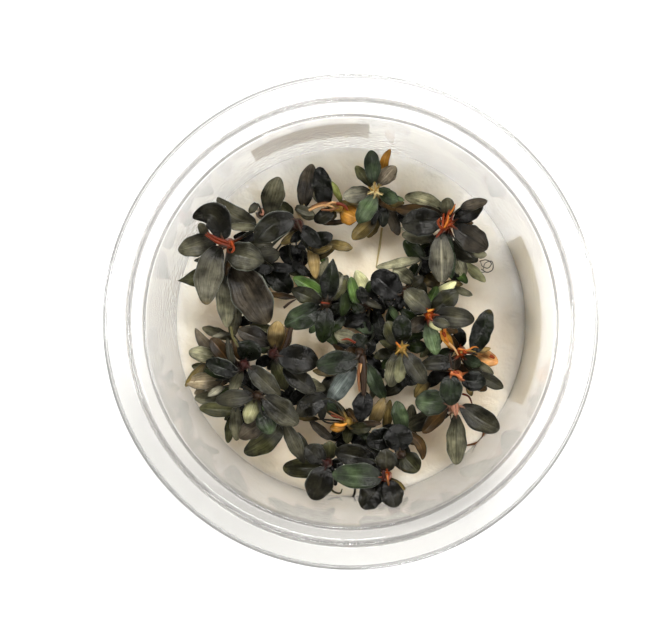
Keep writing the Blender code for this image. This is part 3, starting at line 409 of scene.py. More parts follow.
# Plantlets: stem colour, plan position of the stem, and the leaves from low to high. A leaf has its base, its
# tip, its width and tier, how far the tip is above the base, its colour and, if it curves, its bend to the left
plantlets = {
    "northwest": ("orange", (-25.3, 16.3), (
        (-29.0, 9.5, -36.3, 8.5, 3.8, 1, 0.5, "olive"),
        (-26.2, 8.2, -25.8, -1.2, 4.0, 2, -1.0, "stone"),
        (-19.6, 13.4, -14.8, 14.2, 3.6, 2, -0.5, "slate"),
        (-30.4, 18.5, -31.6, 20.6, 1.9, 2, 1.0, "ash"),
        (-23.8, 10.8, -17.3, -0.4, 7.2, 3, -1.5, "mauve"),
        (-20.5, 20.6, -27.8, 26.0, 3.2, 3, 1.5, "ash", 1.1),
        (-29.0, 16.9, -36.0, 14.8, 4.3, 3, 1.5, "ash"),
        (-28.0, 14.8, -30.0, 3.5, 5.7, 4, -1.5, "silver", -0.7),
        (-27.0, 18.2, -33.0, 21.6, 4.4, 4, 0.0, "slate", -2.7),
        (-25.2, 14.4, -18.1, 12.6, 5.6, 5, -1.0, "stone"),
    )),
    "north_northwest": ("brown", (-18.6, 22.6), (
        (-14.8, 24.2, -12.0, 22.4, 2.6, 1, 0.5, "olive"),
        (-16.9, 22.6, -14.9, 30.2, 4.7, 3, 2.5, "ash", 0.3),
    )),
    "inner_northwest": ("red", (-11.0, 20.4), (
        (-9.8, 12.8, -15.0, 15.0, 4.2, 0, 0.5, "ink"),
        (-16.8, 10.6, -12.3, 6.2, 4.5, 1, -0.5, "night"),
        (-3.6, 16.2, 0.4, 15.3, 2.0, 2, 0.5, "bronze"),
        (-8.0, 15.0, -7.3, 9.0, 2.3, 2, -0.5, "straw"),
        (-8.0, 16.7, -3.7, 18.0, 3.0, 3, 1.0, "night"),
        (-10.2, 19.6, -6.3, 15.4, 3.0, 4, -0.5, "night"),
        (-12.3, 21.4, -19.9, 16.4, 5.2, 5, -1.0, "olive", -0.9),
    )),
    "north_small": ("cream", (-10.2, 23.2), (
        (-10.4, 22.6, -7.2, 21.8, 1.9, 1, 0.3, "stone"),
        (-9.8, 24.2, -8.0, 32.9, 2.9, 3, 2.5, "mauve", 0.3),
    )),
    "north_yellow": ("yellow", (-2.6, 23.8), (
        (-2.2, 25.6, -4.0, 29.3, 1.3, 1, 1.5, "lime"),
        (-1.6, 22.9, 1.5, 21.4, 3.4, 2, 0.5, "amber"),
        (-4.2, 22.9, -7.6, 20.9, 2.8, 3, -0.5, "slate"),
        (-5.4, 25.0, -6.6, 32.3, 3.3, 3, 2.5, "night"),
    )),
    "north": ("cream", (5.0, 27.4), (
        (5.4, 21.2, 3.5, 17.5, 2.3, 0, 0.5, "bronze"),
        (8.0, 23.2, 10.0, 18.0, 2.3, 1, -0.5, "mauve"),
        (4.4, 21.0, 0.3, 17.2, 3.0, 1, 0.0, "bronze"),
        (6.8, 23.0, 6.7, 19.7, 2.2, 2, 0.0, "night"),
        (6.6, 31.0, 8.3, 36.0, 1.7, 1, 1.5, "amber", 0.4),
        (4.0, 28.5, 1.0, 32.5, 2.1, 2, 1.5, "olive"),
        (6.0, 28.8, 9.4, 32.4, 3.2, 2, 1.0, "mauve"),
        (6.7, 26.6, 9.9, 25.2, 2.8, 3, 0.5, "jade"),
        (3.6, 27.0, -1.6, 26.0, 3.2, 3, 1.0, "silver"),
        (4.8, 28.8, 4.2, 35.8, 3.3, 4, 1.5, "teal"),
        (4.8, 25.8, 1.5, 20.6, 3.7, 4, -1.0, "jade"),
    )),
    "northeast": ("orange", (20.2, 20.4), (
        (24.3, 11.7, 28.1, 8.3, 2.0, 0, 0.0, "cream"),
        (22.0, 10.8, 24.3, 8.0, 1.8, 0, 0.0, "fresh"),
        (17.0, 16.2, 13.4, 12.9, 2.6, 0, 0.0, "moss"),
        (22.3, 12.8, 23.6, 9.2, 2.7, 1, 0.0, "stone"),
        (24.0, 24.2, 28.5, 25.2, 2.2, 1, 1.0, "mauve"),
        (18.3, 23.8, 11.2, 26.0, 3.0, 1, 1.0, "stone", -0.6),
        (14.3, 13.8, 11.1, 17.0, 3.3, 2, 0.5, "moss"),
        (21.2, 15.7, 26.5, 12.6, 3.3, 2, -0.5, "slate"),
        (18.0, 22.6, 9.3, 23.5, 2.8, 2, 1.0, "rust"),
        (16.2, 17.6, 10.6, 18.2, 2.9, 3, 0.0, "ash"),
        (22.3, 21.4, 27.6, 24.5, 3.5, 3, 1.5, "slate"),
        (20.2, 22.6, 20.2, 25.9, 2.8, 3, 2.0, "stone"),
        (20.3, 17.2, 21.0, 9.0, 2.2, 3, -1.0, "teal"),
        (18.0, 21.0, 10.6, 20.5, 5.5, 4, -1.0, "slate"),
        (22.2, 19.3, 28.5, 15.2, 5.2, 5, -1.0, "mauve"),
        (18.8, 17.4, 19.0, 8.1, 5.0, 5, -1.5, "silver"),
    )),
    "inner_northeast": ("brown", (11.0, 6.3), (
        (13.6, 12.9, 5.2, 11.3, 1.8, 1, 0.0, "stone"),
        (12.4, 8.9, 8.8, 11.2, 3.0, 2, 0.5, "stone"),
        (9.8, 5.8, 4.6, 10.2, 5.5, 4, -0.5, "ink"),
    )),
    "centre": ("brown", (3.6, 3.6), (
        (4.0, 1.8, 5.0, -4.8, 3.6, 0, 0.0, "ink"),
        (2.4, 2.8, -1.2, 0.4, 2.8, 0, 0.0, "ink"),
        (5.0, 3.6, 9.0, 4.6, 3.0, 0, 0.5, "ink"),
        (3.3, 6.4, 1.0, 10.7, 2.6, 1, 1.5, "cream"),
        (1.0, 4.6, 0.0, 9.4, 2.2, 2, 1.5, "fresh"),
        (2.6, 4.4, 1.9, 7.4, 2.2, 3, 1.0, "night"),
        (1.9, 2.2, 0.0, 4.8, 2.4, 2, 0.5, "moss"),
    )),
    "centre_left": ("brown", (-5.2, 3.7), (
        (-6.4, 6.0, -12.0, 9.3, 2.8, 2, 0.5, "fresh"),
        (-3.6, 5.2, -0.6, 9.7, 2.6, 2, 1.0, "olive"),
        (-6.8, 4.4, -12.3, 6.7, 3.4, 3, 0.0, "olive"),
        (-6.8, 2.5, -13.8, -0.7, 4.7, 3, 0.0, "teal"),
        (-5.0, 2.4, -6.0, -4.4, 3.6, 4, -0.5, "moss"),
        (-4.8, 5.4, -3.7, 13.2, 4.0, 5, 1.5, "moss"),
    )),
    "west": ("red", (-22.2, -8.9), (
        (-26.0, -3.0, -31.0, -1.2, 2.0, 0, 1.0, "ash"),
        (-29.4, -9.8, -33.2, -9.2, 1.9, 0, 0.5, "olive"),
        (-28.6, -6.4, -32.4, -1.3, 2.4, 1, 1.0, "mauve", 0.4),
        (-29.0, -7.2, -33.8, -6.2, 3.0, 2, 1.0, "stone"),
        (-28.0, -12.2, -34.5, -12.6, 3.3, 2, 0.5, "taupe"),
        (-23.2, -10.8, -25.0, -15.0, 2.3, 3, -0.5, "stone"),
        (-24.8, -8.9, -29.2, -3.4, 3.5, 3, 0.5, "rust"),
        (-24.6, -10.4, -30.2, -8.2, 3.4, 4, -0.3, "moss"),
        (-21.8, -7.5, -20.4, -3.9, 5.0, 4, 1.5, "moss"),
        (-20.7, -9.8, -14.7, -15.5, 3.8, 5, -1.0, "ash"),
    )),
    "inner_west": ("red", (-16.2, -6.6), (
        (-17.2, -5.2, -18.6, -2.2, 2.2, 1, 0.5, "olive"),
        (-9.8, -12.4, -5.2, -14.2, 2.4, 2, 0.0, "ash"),
        (-17.9, -4.0, -23.5, -1.6, 3.8, 3, 0.5, "mauve"),
        (-15.8, -4.7, -15.2, 0.2, 3.5, 3, 1.5, "straw"),
        (-15.4, -8.8, -13.6, -14.2, 3.5, 3, -0.5, "olive"),
        (-13.0, -10.2, -7.4, -14.7, 3.8, 4, -0.5, "slate"),
        (-14.2, -7.2, -6.7, -8.4, 5.5, 5, -0.5, "slate"),
    )),
    "southwest": ("brown", (-19.4, -15.4), (
        (-25.2, -20.8, -25.6, -25.3, 1.8, 1, 0.5, "olive"),
        (-27.6, -15.8, -32.6, -15.9, 2.8, 1, 0.5, "stone"),
        (-15.4, -22.6, -22.3, -27.2, 4.3, 1, 0.5, "olive", 0.6),
        (-18.6, -17.8, -16.6, -20.0, 1.9, 2, 0.5, "fresh"),
        (-24.2, -18.4, -31.6, -18.0, 3.0, 2, 0.5, "olive"),
        (-24.0, -18.6, -23.8, -24.8, 2.5, 3, -0.3, "stone"),
        (-18.9, -21.2, -23.3, -24.2, 3.8, 3, 0.0, "mauve"),
        (-13.8, -21.2, -9.7, -29.5, 3.3, 4, 0.5, "ash"),
        (-20.2, -16.8, -21.7, -21.2, 3.0, 4, -0.3, "cream"),
        (-18.2, -19.8, -16.6, -23.4, 3.7, 4, 0.5, "jade"),
        (-21.0, -15.6, -28.2, -16.4, 3.4, 5, -0.5, "ash"),
        (-17.6, -16.2, -11.0, -21.4, 4.9, 5, -0.5, "ash"),
    )),
    "centre_south": ("brown", (1.9, -6.3), (
        (4.0, -1.6, 0.6, -0.7, 2.2, 1, 0.3, "teal"),
        (3.6, -9.8, 7.0, -16.2, 3.0, 1, 0.0, "teal"),
        (0.2, -10.2, -4.6, -16.9, 3.7, 3, -0.5, "bluegrey"),
        (0.3, -3.4, -3.5, -2.6, 2.9, 3, 0.5, "stone"),
        (3.0, -4.9, 0.4, -2.8, 2.7, 4, 0.8, "moss"),
        (2.8, -15.8, 1.9, -20.9, 4.0, 4, -0.5, "ink"),
        (0.6, -7.9, -7.2, -9.2, 4.6, 5, -0.5, "teal"),
    )),
    "inner_southeast": ("yellow", (10.6, -5.6), (
        (8.8, -1.2, 8.7, 3.3, 2.8, 1, 1.0, "moss"),
        (8.2, -6.2, 4.8, -7.4, 2.2, 1, 0.5, "olive"),
        (12.2, -4.9, 15.7, -5.4, 2.8, 2, 0.5, "moss"),
        (9.4, -4.3, 7.6, 0.2, 3.3, 3, 1.0, "olive"),
        (9.7, -6.9, 8.2, -13.6, 3.5, 3, -0.5, "stone"),
        (10.7, -4.1, 10.6, 1.5, 3.8, 4, 1.5, "moss"),
        (10.7, -7.2, 9.9, -12.7, 2.6, 4, -0.5, "cream"),
        (11.8, -7.2, 15.5, -12.9, 3.6, 5, -0.5, "ash"),
    )),
    "inner_east": ("orange", (16.4, 1.3), (
        (15.0, 4.8, 13.2, 9.6, 3.0, 1, 0.5, "slate"),
        (17.6, 5.4, 22.0, 8.3, 2.0, 1, 0.5, "cream"),
        (16.8, 4.6, 18.0, 7.4, 2.0, 2, 0.5, "fresh"),
        (15.4, 0.4, 12.1, -1.8, 3.0, 3, 0.3, "mauve"),
        (16.2, -0.8, 17.9, -6.9, 3.3, 3, -0.5, "jade"),
        (15.8, 2.8, 11.3, 6.6, 4.3, 4, 0.3, "stone"),
        (17.4, 2.6, 22.3, 6.4, 4.0, 4, 0.5, "olive"),
        (18.2, 1.4, 25.8, 0.4, 4.2, 4, 0.0, "ash"),
        (17.6, 0.0, 20.7, -0.8, 2.0, 5, 0.3, "stone"),
    )),
    "east": ("orange", (22.9, -6.2), (
        (26.4, -6.9, 30.7, -8.6, 3.2, 1, 0.5, "flame"),
        (22.8, -4.8, 22.6, -1.2, 2.6, 1, 1.0, "ink"),
        (20.6, -6.2, 18.0, -7.8, 2.4, 2, 0.3, "moss"),
        (24.2, -7.9, 27.2, -9.0, 2.6, 2, 0.0, "teal"),
        (21.9, -7.6, 21.6, -10.0, 2.2, 2, 0.0, "mauve"),
        (20.4, -8.4, 14.6, -8.9, 3.1, 4, 0.0, "slate"),
        (26.0, -5.5, 29.0, 2.6, 4.0, 4, 1.5, "moss"),
    )),
    "east_southeast": ("peach", (22.3, -11.2), (
        (25.8, -12.8, 28.4, -14.2, 2.2, 2, 0.0, "rust"),
        (27.0, -11.2, 31.8, -13.8, 2.6, 3, 0.5, "ash"),
        (23.7, -12.2, 28.2, -12.6, 4.0, 5, -0.3, "moss"),
        (20.8, -11.6, 20.9, -17.5, 4.5, 6, -0.8, "teal"),
    )),
    "southeast": ("pink", (21.6, -18.0), (
        (17.4, -19.6, 11.6, -22.2, 3.6, 1, 0.0, "slate"),
        (19.6, -18.2, 15.0, -23.2, 2.8, 2, 0.0, "rust"),
        (22.0, -19.9, 22.0, -29.8, 4.0, 2, 0.0, "stone"),
        (23.6, -17.9, 31.0, -22.4, 4.5, 2, 0.5, "ash", -0.3),
        (19.2, -17.0, 13.4, -16.6, 5.2, 4, -0.5, "jade"),
    )),
    "inner_south": ("yellow", (-0.6, -20.8), (
        (-4.8, -23.9, -8.6, -20.6, 1.8, 0, 0.5, "mauve"),
        (-1.7, -22.8, -4.4, -24.5, 2.5, 0, 0.3, "ink"),
        (4.6, -21.2, 7.0, -15.8, 2.6, 1, 0.5, "straw"),
        (-1.6, -19.4, -5.6, -16.8, 3.0, 1, 0.3, "teal"),
        (-1.5, -21.8, -4.4, -22.2, 1.9, 2, 0.3, "amber"),
        (0.4, -22.3, 4.3, -22.2, 2.3, 2, 0.3, "olive"),
        (-6.0, -16.2, -11.1, -19.6, 4.3, 3, 0.0, "slate", -0.35),
    )),
    "south_southwest": ("red", (-4.9, -29.4), (
        (-6.8, -30.4, -14.2, -30.5, 4.0, 2, 0.5, "olive"),
        (-4.5, -28.2, -4.4, -24.9, 3.2, 3, 1.0, "olive"),
        (-5.9, -28.8, -9.4, -26.0, 4.0, 5, 0.5, "slate"),
        (-5.4, -30.9, -8.0, -37.1, 5.4, 5, -0.5, "slate"),
    )),
    "south": ("orange", (7.4, -32.0), (
        (3.9, -28.6, -3.3, -27.0, 4.5, 3, 0.3, "slate"),
        (5.8, -33.8, 2.5, -39.0, 4.9, 3, 1.5, "slate"),
        (8.0, -34.0, 9.4, -38.7, 4.5, 3, 1.5, "slate"),
        (7.5, -30.7, 7.3, -26.5, 4.2, 6, 1.0, "slate"),
        (6.0, -32.4, -3.9, -31.8, 5.0, 6, -0.8, "jade"),
    )),
    "south_southeast": ("brown", (10.5, -27.6), (
        (12.6, -20.0, 12.8, -17.2, 1.9, 0, 0.5, "ash"),
        (12.0, -23.6, 14.9, -28.8, 2.1, 1, -0.3, "rust", 1.2),
        (10.8, -21.8, 9.5, -16.5, 3.2, 2, 0.3, "jade"),
        (8.2, -24.2, 3.2, -24.9, 4.3, 3, 0.0, "night"),
        (10.7, -27.6, 14.1, -31.2, 4.3, 3, 0.3, "olive"),
        (10.2, -26.3, 9.5, -21.3, 5.6, 5, 0.3, "night"),
    )),
}

# Small and thin leaves that grow on the same stems, written the same way
smallLeaves = {
    "northwest": (
        (-30.6, 13.2, -32.7, 12.7, 0.9, 3, 0.3, "slate"),
        (-20.6, 19.7, -25.9, 19.9, 1.6, 3, 0.3, "stone"),
        (-20.4, 17.7, -24.5, 17.7, 2.1, 2, 0.3, "ink"),
        (-17.3, 10.9, -21.8, 11.3, 2.0, 2, 0.0, "night"),
        (-25.4, 12.8, -26.0, 9.6, 1.0, 2, 0.0, "rust"),
        (-20.6, 0.6, -24.2, -0.4, 2.0, 1, 0.0, "ink"),
        (-23.6, 4.0, -24.8, -3.4, 2.6, 1, 0.0, "ash"),
        (-21.2, 16.4, -16.2, 16.0, 1.9, 1, 0.0, "slate"),
        (-19.6, 10.6, -16.8, 7.2, 2.7, 0, 0.0, "slate"),
        (-25.2, 10.4, -25.5, 7.2, 1.5, 1, 0.0, "ink"),
    ),
    "north_northwest": ((-19.8, 24.4, -21.2, 22.6, 1.5, 3, 0.5, "ash"),),
    "inner_northwest": (
        (-6.3, 14.0, -5.7, 12.3, 1.4, 1, 0.3, "fresh"),
        (-12.5, 11.0, -17.6, 11.7, 1.9, 0, 0.0, "ink"),
        (-11.3, 11.8, -8.2, 9.4, 1.8, 1, 0.0, "ink"),
        (-16.4, 5.7, -11.4, 5.0, 1.2, 0, 0.0, "rust"),
        (-7.0, 14.9, -3.9, 15.8, 1.7, 2, 0.3, "bronze"),
        (-10.4, 18.8, -14.6, 16.2, 1.9, 2, 0.0, "bronze"),
        (-9.8, 18.8, -12.6, 16.6, 1.8, 3, 0.0, "ink"),
        (-10.4, 15.6, -8.2, 17.6, 1.8, 1, 0.0, "ink"),
        (-10.4, 9.9, -13.4, 10.7, 1.4, 0, 0.0, "olive"),
        (-6.4, 13.4, -2.9, 16.0, 1.3, 1, 0.0, "bronze"),
    ),
    "north_small": (
        (-11.4, 23.8, -7.6, 22.3, 1.9, 3, 0.3, "ash"),
        (-9.8, 22.9, -2.2, 24.5, 0.8, 2, 0.0, "straw", 0.8),
        (-6.6, 25.2, -8.3, 27.5, 1.1, 2, 0.0, "ash"),
    ),
    "north_yellow": (
        (-1.6, 20.9, -6.0, 20.4, 1.0, 1, 0.0, "rust"),
        (1.6, 24.4, -2.3, 24.9, 1.7, 1, 0.0, "bronze"),
        (-3.5, 23.2, -4.0, 21.0, 1.4, 1, 0.0, "bronze"),
        (-0.3, 20.8, 0.8, 22.6, 1.6, 1, 0.0, "amber"),
    ),
    "north": (
        (6.0, 27.5, 8.3, 27.5, 1.0, 3, 0.3, "jade"),
        (6.2, 25.0, 9.9, 23.3, 1.6, 1, 0.0, "rust"),
        (9.6, 25.8, 11.2, 25.3, 0.9, 2, 0.0, "jade"),
        (5.4, 22.6, 4.4, 20.2, 1.2, 1, 0.0, "ink"),
        (6.0, 24.6, 7.6, 21.6, 2.0, 0, 0.0, "ink"),
        (11.0, 21.2, 9.3, 23.0, 1.5, 0, 0.0, "ink"),
        (9.0, 24.5, 11.2, 24.8, 1.4, 1, 0.0, "bronze"),
    ),
    "northeast": (
        (26.5, 14.0, 28.4, 14.0, 1.6, 2, 0.3, "stone"),
        (17.2, 13.8, 14.4, 9.6, 2.8, 0, 0.0, "ink"),
        (20.8, 10.4, 22.8, 8.2, 1.8, 0, 0.0, "ink"),
        (16.2, 14.6, 15.2, 12.0, 2.4, 1, 0.0, "night"),
        (13.2, 19.0, 10.4, 19.6, 1.2, 2, 0.0, "silver"),
        (20.8, 20.2, 25.6, 20.6, 1.5, 2, 0.0, "rust"),
    ),
    "inner_northeast": (
        (12.6, 9.6, 13.8, 12.2, 2.0, 0, 0.0, "moss"),
        (12.4, 5.2, 12.0, 2.4, 2.4, 1, 0.0, "night"),
        (10.2, 4.8, 9.8, 2.2, 2.2, 1, 0.0, "ink"),
        (12.4, 7.6, 15.2, 9.4, 2.2, 1, 0.0, "slate"),
    ),
    "west": (
        (-24.6, -9.5, -25.8, -3.4, 1.4, 3, 0.3, "slate"),
        (-26.2, -2.5, -29.0, -3.1, 0.9, 1, 0.3, "silver"),
        (-22.4, -10.6, -21.4, -14.2, 2.4, 1, 0.0, "ink"),
        (-25.6, -11.2, -27.8, -13.4, 1.9, 1, 0.0, "moss"),
        (-24.0, -9.6, -26.8, -6.0, 2.2, 1, 0.0, "ink"),
        (-23.2, -7.4, -24.6, -3.6, 1.8, 1, 0.0, "rust"),
        (-31.2, -9.6, -34.5, -13.5, 1.7, 1, 0.0, "bronze"),
        (-27.2, -11.4, -30.6, -10.0, 1.4, 2, 0.0, "moss"),
        (-31.0, -7.4, -33.6, -5.8, 1.5, 1, 0.0, "stone"),
    ),
    "inner_west": (
        (-17.0, -7.6, -19.8, -9.0, 2.2, 1, 0.0, "ink"),
        (-13.6, -12.2, -12.0, -15.6, 2.2, 0, 0.0, "ink"),
        (-18.0, -6.0, -19.6, -4.6, 1.6, 1, 0.0, "moss"),
        (-15.4, -8.2, -17.4, -9.9, 1.8, 1, 0.0, "slate"),
        (-14.7, -6.4, -12.8, -0.4, 2.6, 0, 0.0, "rust"),
        (-9.4, -14.1, -12.9, -17.3, 2.7, 0, 0.0, "ink"),
        (-16.2, -2.2, -21.3, -0.1, 2.1, 0, 0.0, "olive"),
    ),
    "southwest": (
        (-27.5, -14.0, -29.8, -15.5, 1.5, 2, 0.3, "silver"),
        (-22.8, -17.6, -22.6, -22.2, 1.5, 1, 0.0, "ink"),
        (-16.4, -15.0, -12.0, -16.4, 2.4, 0, 0.0, "ink"),
        (-17.8, -17.4, -18.9, -20.2, 1.2, 3, 0.0, "fresh"),
        (-17.2, -20.0, -15.0, -21.6, 1.6, 2, 0.0, "night"),
        (-19.0, -20.6, -20.8, -20.4, 1.4, 2, 0.0, "rust"),
        (-20.6, -14.6, -22.6, -13.2, 1.8, 1, 0.0, "ink"),
        (-24.6, -19.6, -26.4, -20.4, 1.4, 1, 0.0, "olive"),
        (-19.2, -19.3, -23.1, -20.6, 2.3, 1, 0.0, "olive"),
        (-9.2, -26.6, -11.1, -23.0, 1.4, 2, 0.0, "slate"),
        (-25.3, -13.7, -28.8, -15.3, 1.4, 2, 0.0, "moss"),
        (-27.4, -12.9, -30.2, -14.4, 1.5, 1, 0.0, "taupe"),
        (-30.6, -13.5, -32.6, -15.1, 1.4, 1, 0.0, "taupe"),
        (-19.4, -14.5, -20.8, -12.1, 1.5, 1, 0.0, "ink"),
        (-19.6, -19.0, -22.3, -21.2, 1.2, 0, 0.0, "olive"),
    ),
    "centre": (
        (2.5, 4.8, 6.5, 2.8, 1.4, 2, 0.3, "slate"),
        (2.8, 0.8, -1.8, -0.6, 2.8, 0, 0.0, "ink"),
        (5.4, 1.6, 7.0, -4.8, 2.4, 0, 0.0, "night"),
        (5.2, 4.6, 6.8, 1.6, 2.4, 0, 0.0, "ink"),
        (3.4, -1.6, 2.2, 1.6, 2.2, 0, 0.0, "ink"),
        (3.2, 5.4, 4.0, 8.6, 1.2, 1, 0.6, "moss"),
        (-0.6, 6.6, -1.8, 1.0, 2.3, 1, 0.0, "moss"),
        (-2.0, 0.2, -3.8, -2.2, 1.9, 0, 0.0, "moss"),
        (3.8, 6.9, 5.5, 4.7, 1.9, 1, 0.0, "ink"),
    ),
    "centre_left": (
        (-6.6, 0.4, -8.6, -2.4, 1.8, 2, 0.0, "jade"),
        (-5.8, 4.9, -1.0, 5.2, 2.6, 0, 0.0, "ink"),
        (-4.2, 2.0, -1.8, 3.8, 2.0, 2, 0.3, "night"),
        (-7.2, 3.0, -9.6, 4.2, 1.8, 1, 0.0, "night"),
        (-4.2, 1.6, -1.6, 0.4, 2.2, 0, 0.0, "ink"),
        (-2.6, 7.0, -1.6, 9.9, 0.8, 3, 0.5, "silver"),
        (-4.9, -2.2, -2.9, -5.0, 2.1, 1, 0.0, "moss"),
        (-6.4, 9.8, -4.8, 13.5, 1.6, 1, 0.0, "ash"),
        (-6.2, 7.2, -8.7, 10.1, 1.5, 1, 0.0, "olive"),
        (-1.7, 8.1, -2.6, 10.5, 1.4, 1, 0.0, "olive"),
    ),
    "centre_south": (
        (-0.6, -7.2, -3.8, -4.6, 1.2, 2, 0.2, "rust"),
        (0.8, -5.0, -3.2, -4.7, 1.6, 1, 0.0, "ink"),
        (4.2, -7.4, 6.8, -11.8, 2.6, 0, 0.0, "ink"),
        (3.4, -6.6, 4.8, -3.8, 2.2, 0, 0.0, "ink"),
        (5.0, -12.0, 4.4, -16.2, 1.6, 0, 0.0, "ash"),
        (-3.0, -10.6, -7.3, -16.8, 2.6, 1, 0.0, "slate"),
        (1.2, -5.8, -1.4, -6.6, 1.8, 3, 0.0, "rust"),
        (-4.4, -10.8, -8.0, -10.2, 1.5, 2, 0.0, "bronze"),
    ),
    "inner_southeast": (
        (12.0, -3.2, 15.9, -2.6, 1.9, 1, 0.0, "moss"),
        (11.4, -9.6, 11.2, -13.6, 2.6, 1, 0.0, "ink"),
        (9.2, -5.4, 6.0, -4.0, 1.4, 2, 0.0, "olive"),
        (8.6, -7.0, 6.6, -9.8, 2.0, 1, 0.0, "moss"),
        (12.6, -4.0, 12.4, -1.8, 1.8, 0, 0.0, "moss"),
        (9.6, 0.8, 8.0, 3.4, 1.4, 2, 0.3, "jade"),
        (10.6, -12.7, 6.6, -15.3, 2.7, 0, 0.0, "slate"),
        (13.8, -12.0, 11.8, -13.2, 1.5, 0, 0.0, "ink"),
        (16.5, -5.5, 14.4, -7.4, 1.5, 1, 0.0, "olive"),
    ),
    "inner_east": (
        (22.6, 6.6, 25.4, 5.5, 1.4, 1, 0.0, "stone"),
        (16.8, -0.6, 19.0, -1.7, 1.1, 3, 0.0, "cream"),
        (14.8, 2.4, 12.4, 2.2, 2.0, 1, 0.0, "night"),
        (17.0, 3.0, 18.4, 5.4, 2.0, 1, 0.0, "ink"),
        (19.4, -2.2, 17.6, -5.4, 1.4, 2, 0.0, "moss"),
        (15.6, 9.3, 18.5, 7.5, 2.7, 0, 0.0, "bronze"),
        (13.4, 0.5, 10.1, 2.7, 1.9, 1, 0.0, "moss"),
        (19.4, -0.9, 22.3, -2.2, 1.9, 2, 0.0, "rust"),
        (20.5, 8.0, 23.4, 7.8, 1.3, 1, 0.0, "bronze"),
    ),
    "east": (
        (26.8, -6.0, 29.2, -5.5, 1.1, 2, 0.3, "straw"),
        (20.8, -5.0, 19.3, -1.5, 1.5, 3, 0.3, "amber"),
        (19.6, -8.0, 16.0, -6.8, 1.6, 2, 0.0, "night"),
        (24.4, -9.2, 27.6, -10.2, 1.6, 1, 0.0, "slate"),
        (22.4, -5.8, 20.1, -2.3, 1.5, 2, 0.0, "rust"),
        (26.9, -8.9, 29.8, -10.9, 1.5, 1, 0.0, "ash"),
    ),
    "east_southeast": (
        (24.6, -13.4, 25.2, -15.5, 1.4, 2, 0.0, "bronze"),
        (19.6, -10.4, 16.0, -12.4, 2.6, 1, 0.0, "ink"),
        (18.4, -11.8, 15.8, -13.6, 1.6, 0, 0.0, "ink"),
        (15.9, -12.3, 13.3, -15.8, 2.3, 0, 0.0, "bronze"),
        (22.1, -9.8, 25.2, -10.2, 2.1, 1, 0.0, "rust"),
    ),
    "southeast": ((19.4, -19.6, 16.6, -18.6, 1.8, 1, 0.0, "night"),),
    "inner_south": (
        (-0.4, -22.0, -0.8, -25.4, 2.2, 1, 0.0, "olive"),
        (1.8, -22.8, 4.2, -24.6, 1.8, 1, 0.0, "moss"),
        (-2.6, -17.6, -0.8, -20.6, 1.0, 1, 0.0, "bronze"),
        (2.0, -21.2, 6.4, -21.2, 1.2, 1, 0.0, "rust"),
        (0.1, -23.4, 6.4, -28.4, 3.0, 0, 0.0, "ink"),
        (-0.6, -18.4, 1.6, -21.2, 1.5, 1, 0.0, "rust"),
        (-6.1, -19.4, -5.5, -16.0, 1.6, 1, 0.0, "slate"),
        (-1.0, -24.6, -3.3, -25.9, 1.6, 0, 0.0, "ink"),
        (-8.0, -20.2, -11.1, -20.0, 1.2, 1, 0.0, "bronze"),
        (7.4, -22.1, 8.2, -16.2, 1.8, 0, 0.0, "bronze"),
    ),
    "south_southwest": (
        (-4.0, -29.8, -1.4, -29.2, 2.0, 1, 0.0, "ink"),
        (-5.2, -27.6, -6.4, -25.6, 1.8, 1, 0.0, "night"),
        (-6.4, -31.0, -9.8, -31.6, 1.6, 1, 0.0, "ink"),
        (-4.7, -29.7, -3.1, -34.2, 1.8, 1, 0.0, "ink"),
    ),
    "south": (
        (6.4, -30.6, 3.6, -29.6, 1.9, 2, 0.0, "ink"),
        (8.6, -33.0, 11.4, -35.0, 1.3, 2, 0.0, "bronze"),
        (6.6, -33.8, 4.6, -35.0, 2.0, 1, 0.0, "ink"),
        (8.0, -33.4, 8.6, -36.0, 1.8, 1, 0.0, "ink"),
    ),
    "south_southeast": (
        (9.6, -26.2, 12.4, -27.6, 2.6, 1, 0.0, "ink"),
        (8.8, -28.0, 11.4, -31.0, 1.9, 1, 0.0, "slate"),
        (11.8, -23.0, 13.8, -25.6, 2.6, 0, 0.0, "rust"),
        (9.4, -22.6, 6.4, -22.2, 2.2, 1, 0.0, "ink"),
        (10.6, -22.4, 13.0, -20.8, 2.0, 0, 0.0, "ink"),
    ),
}

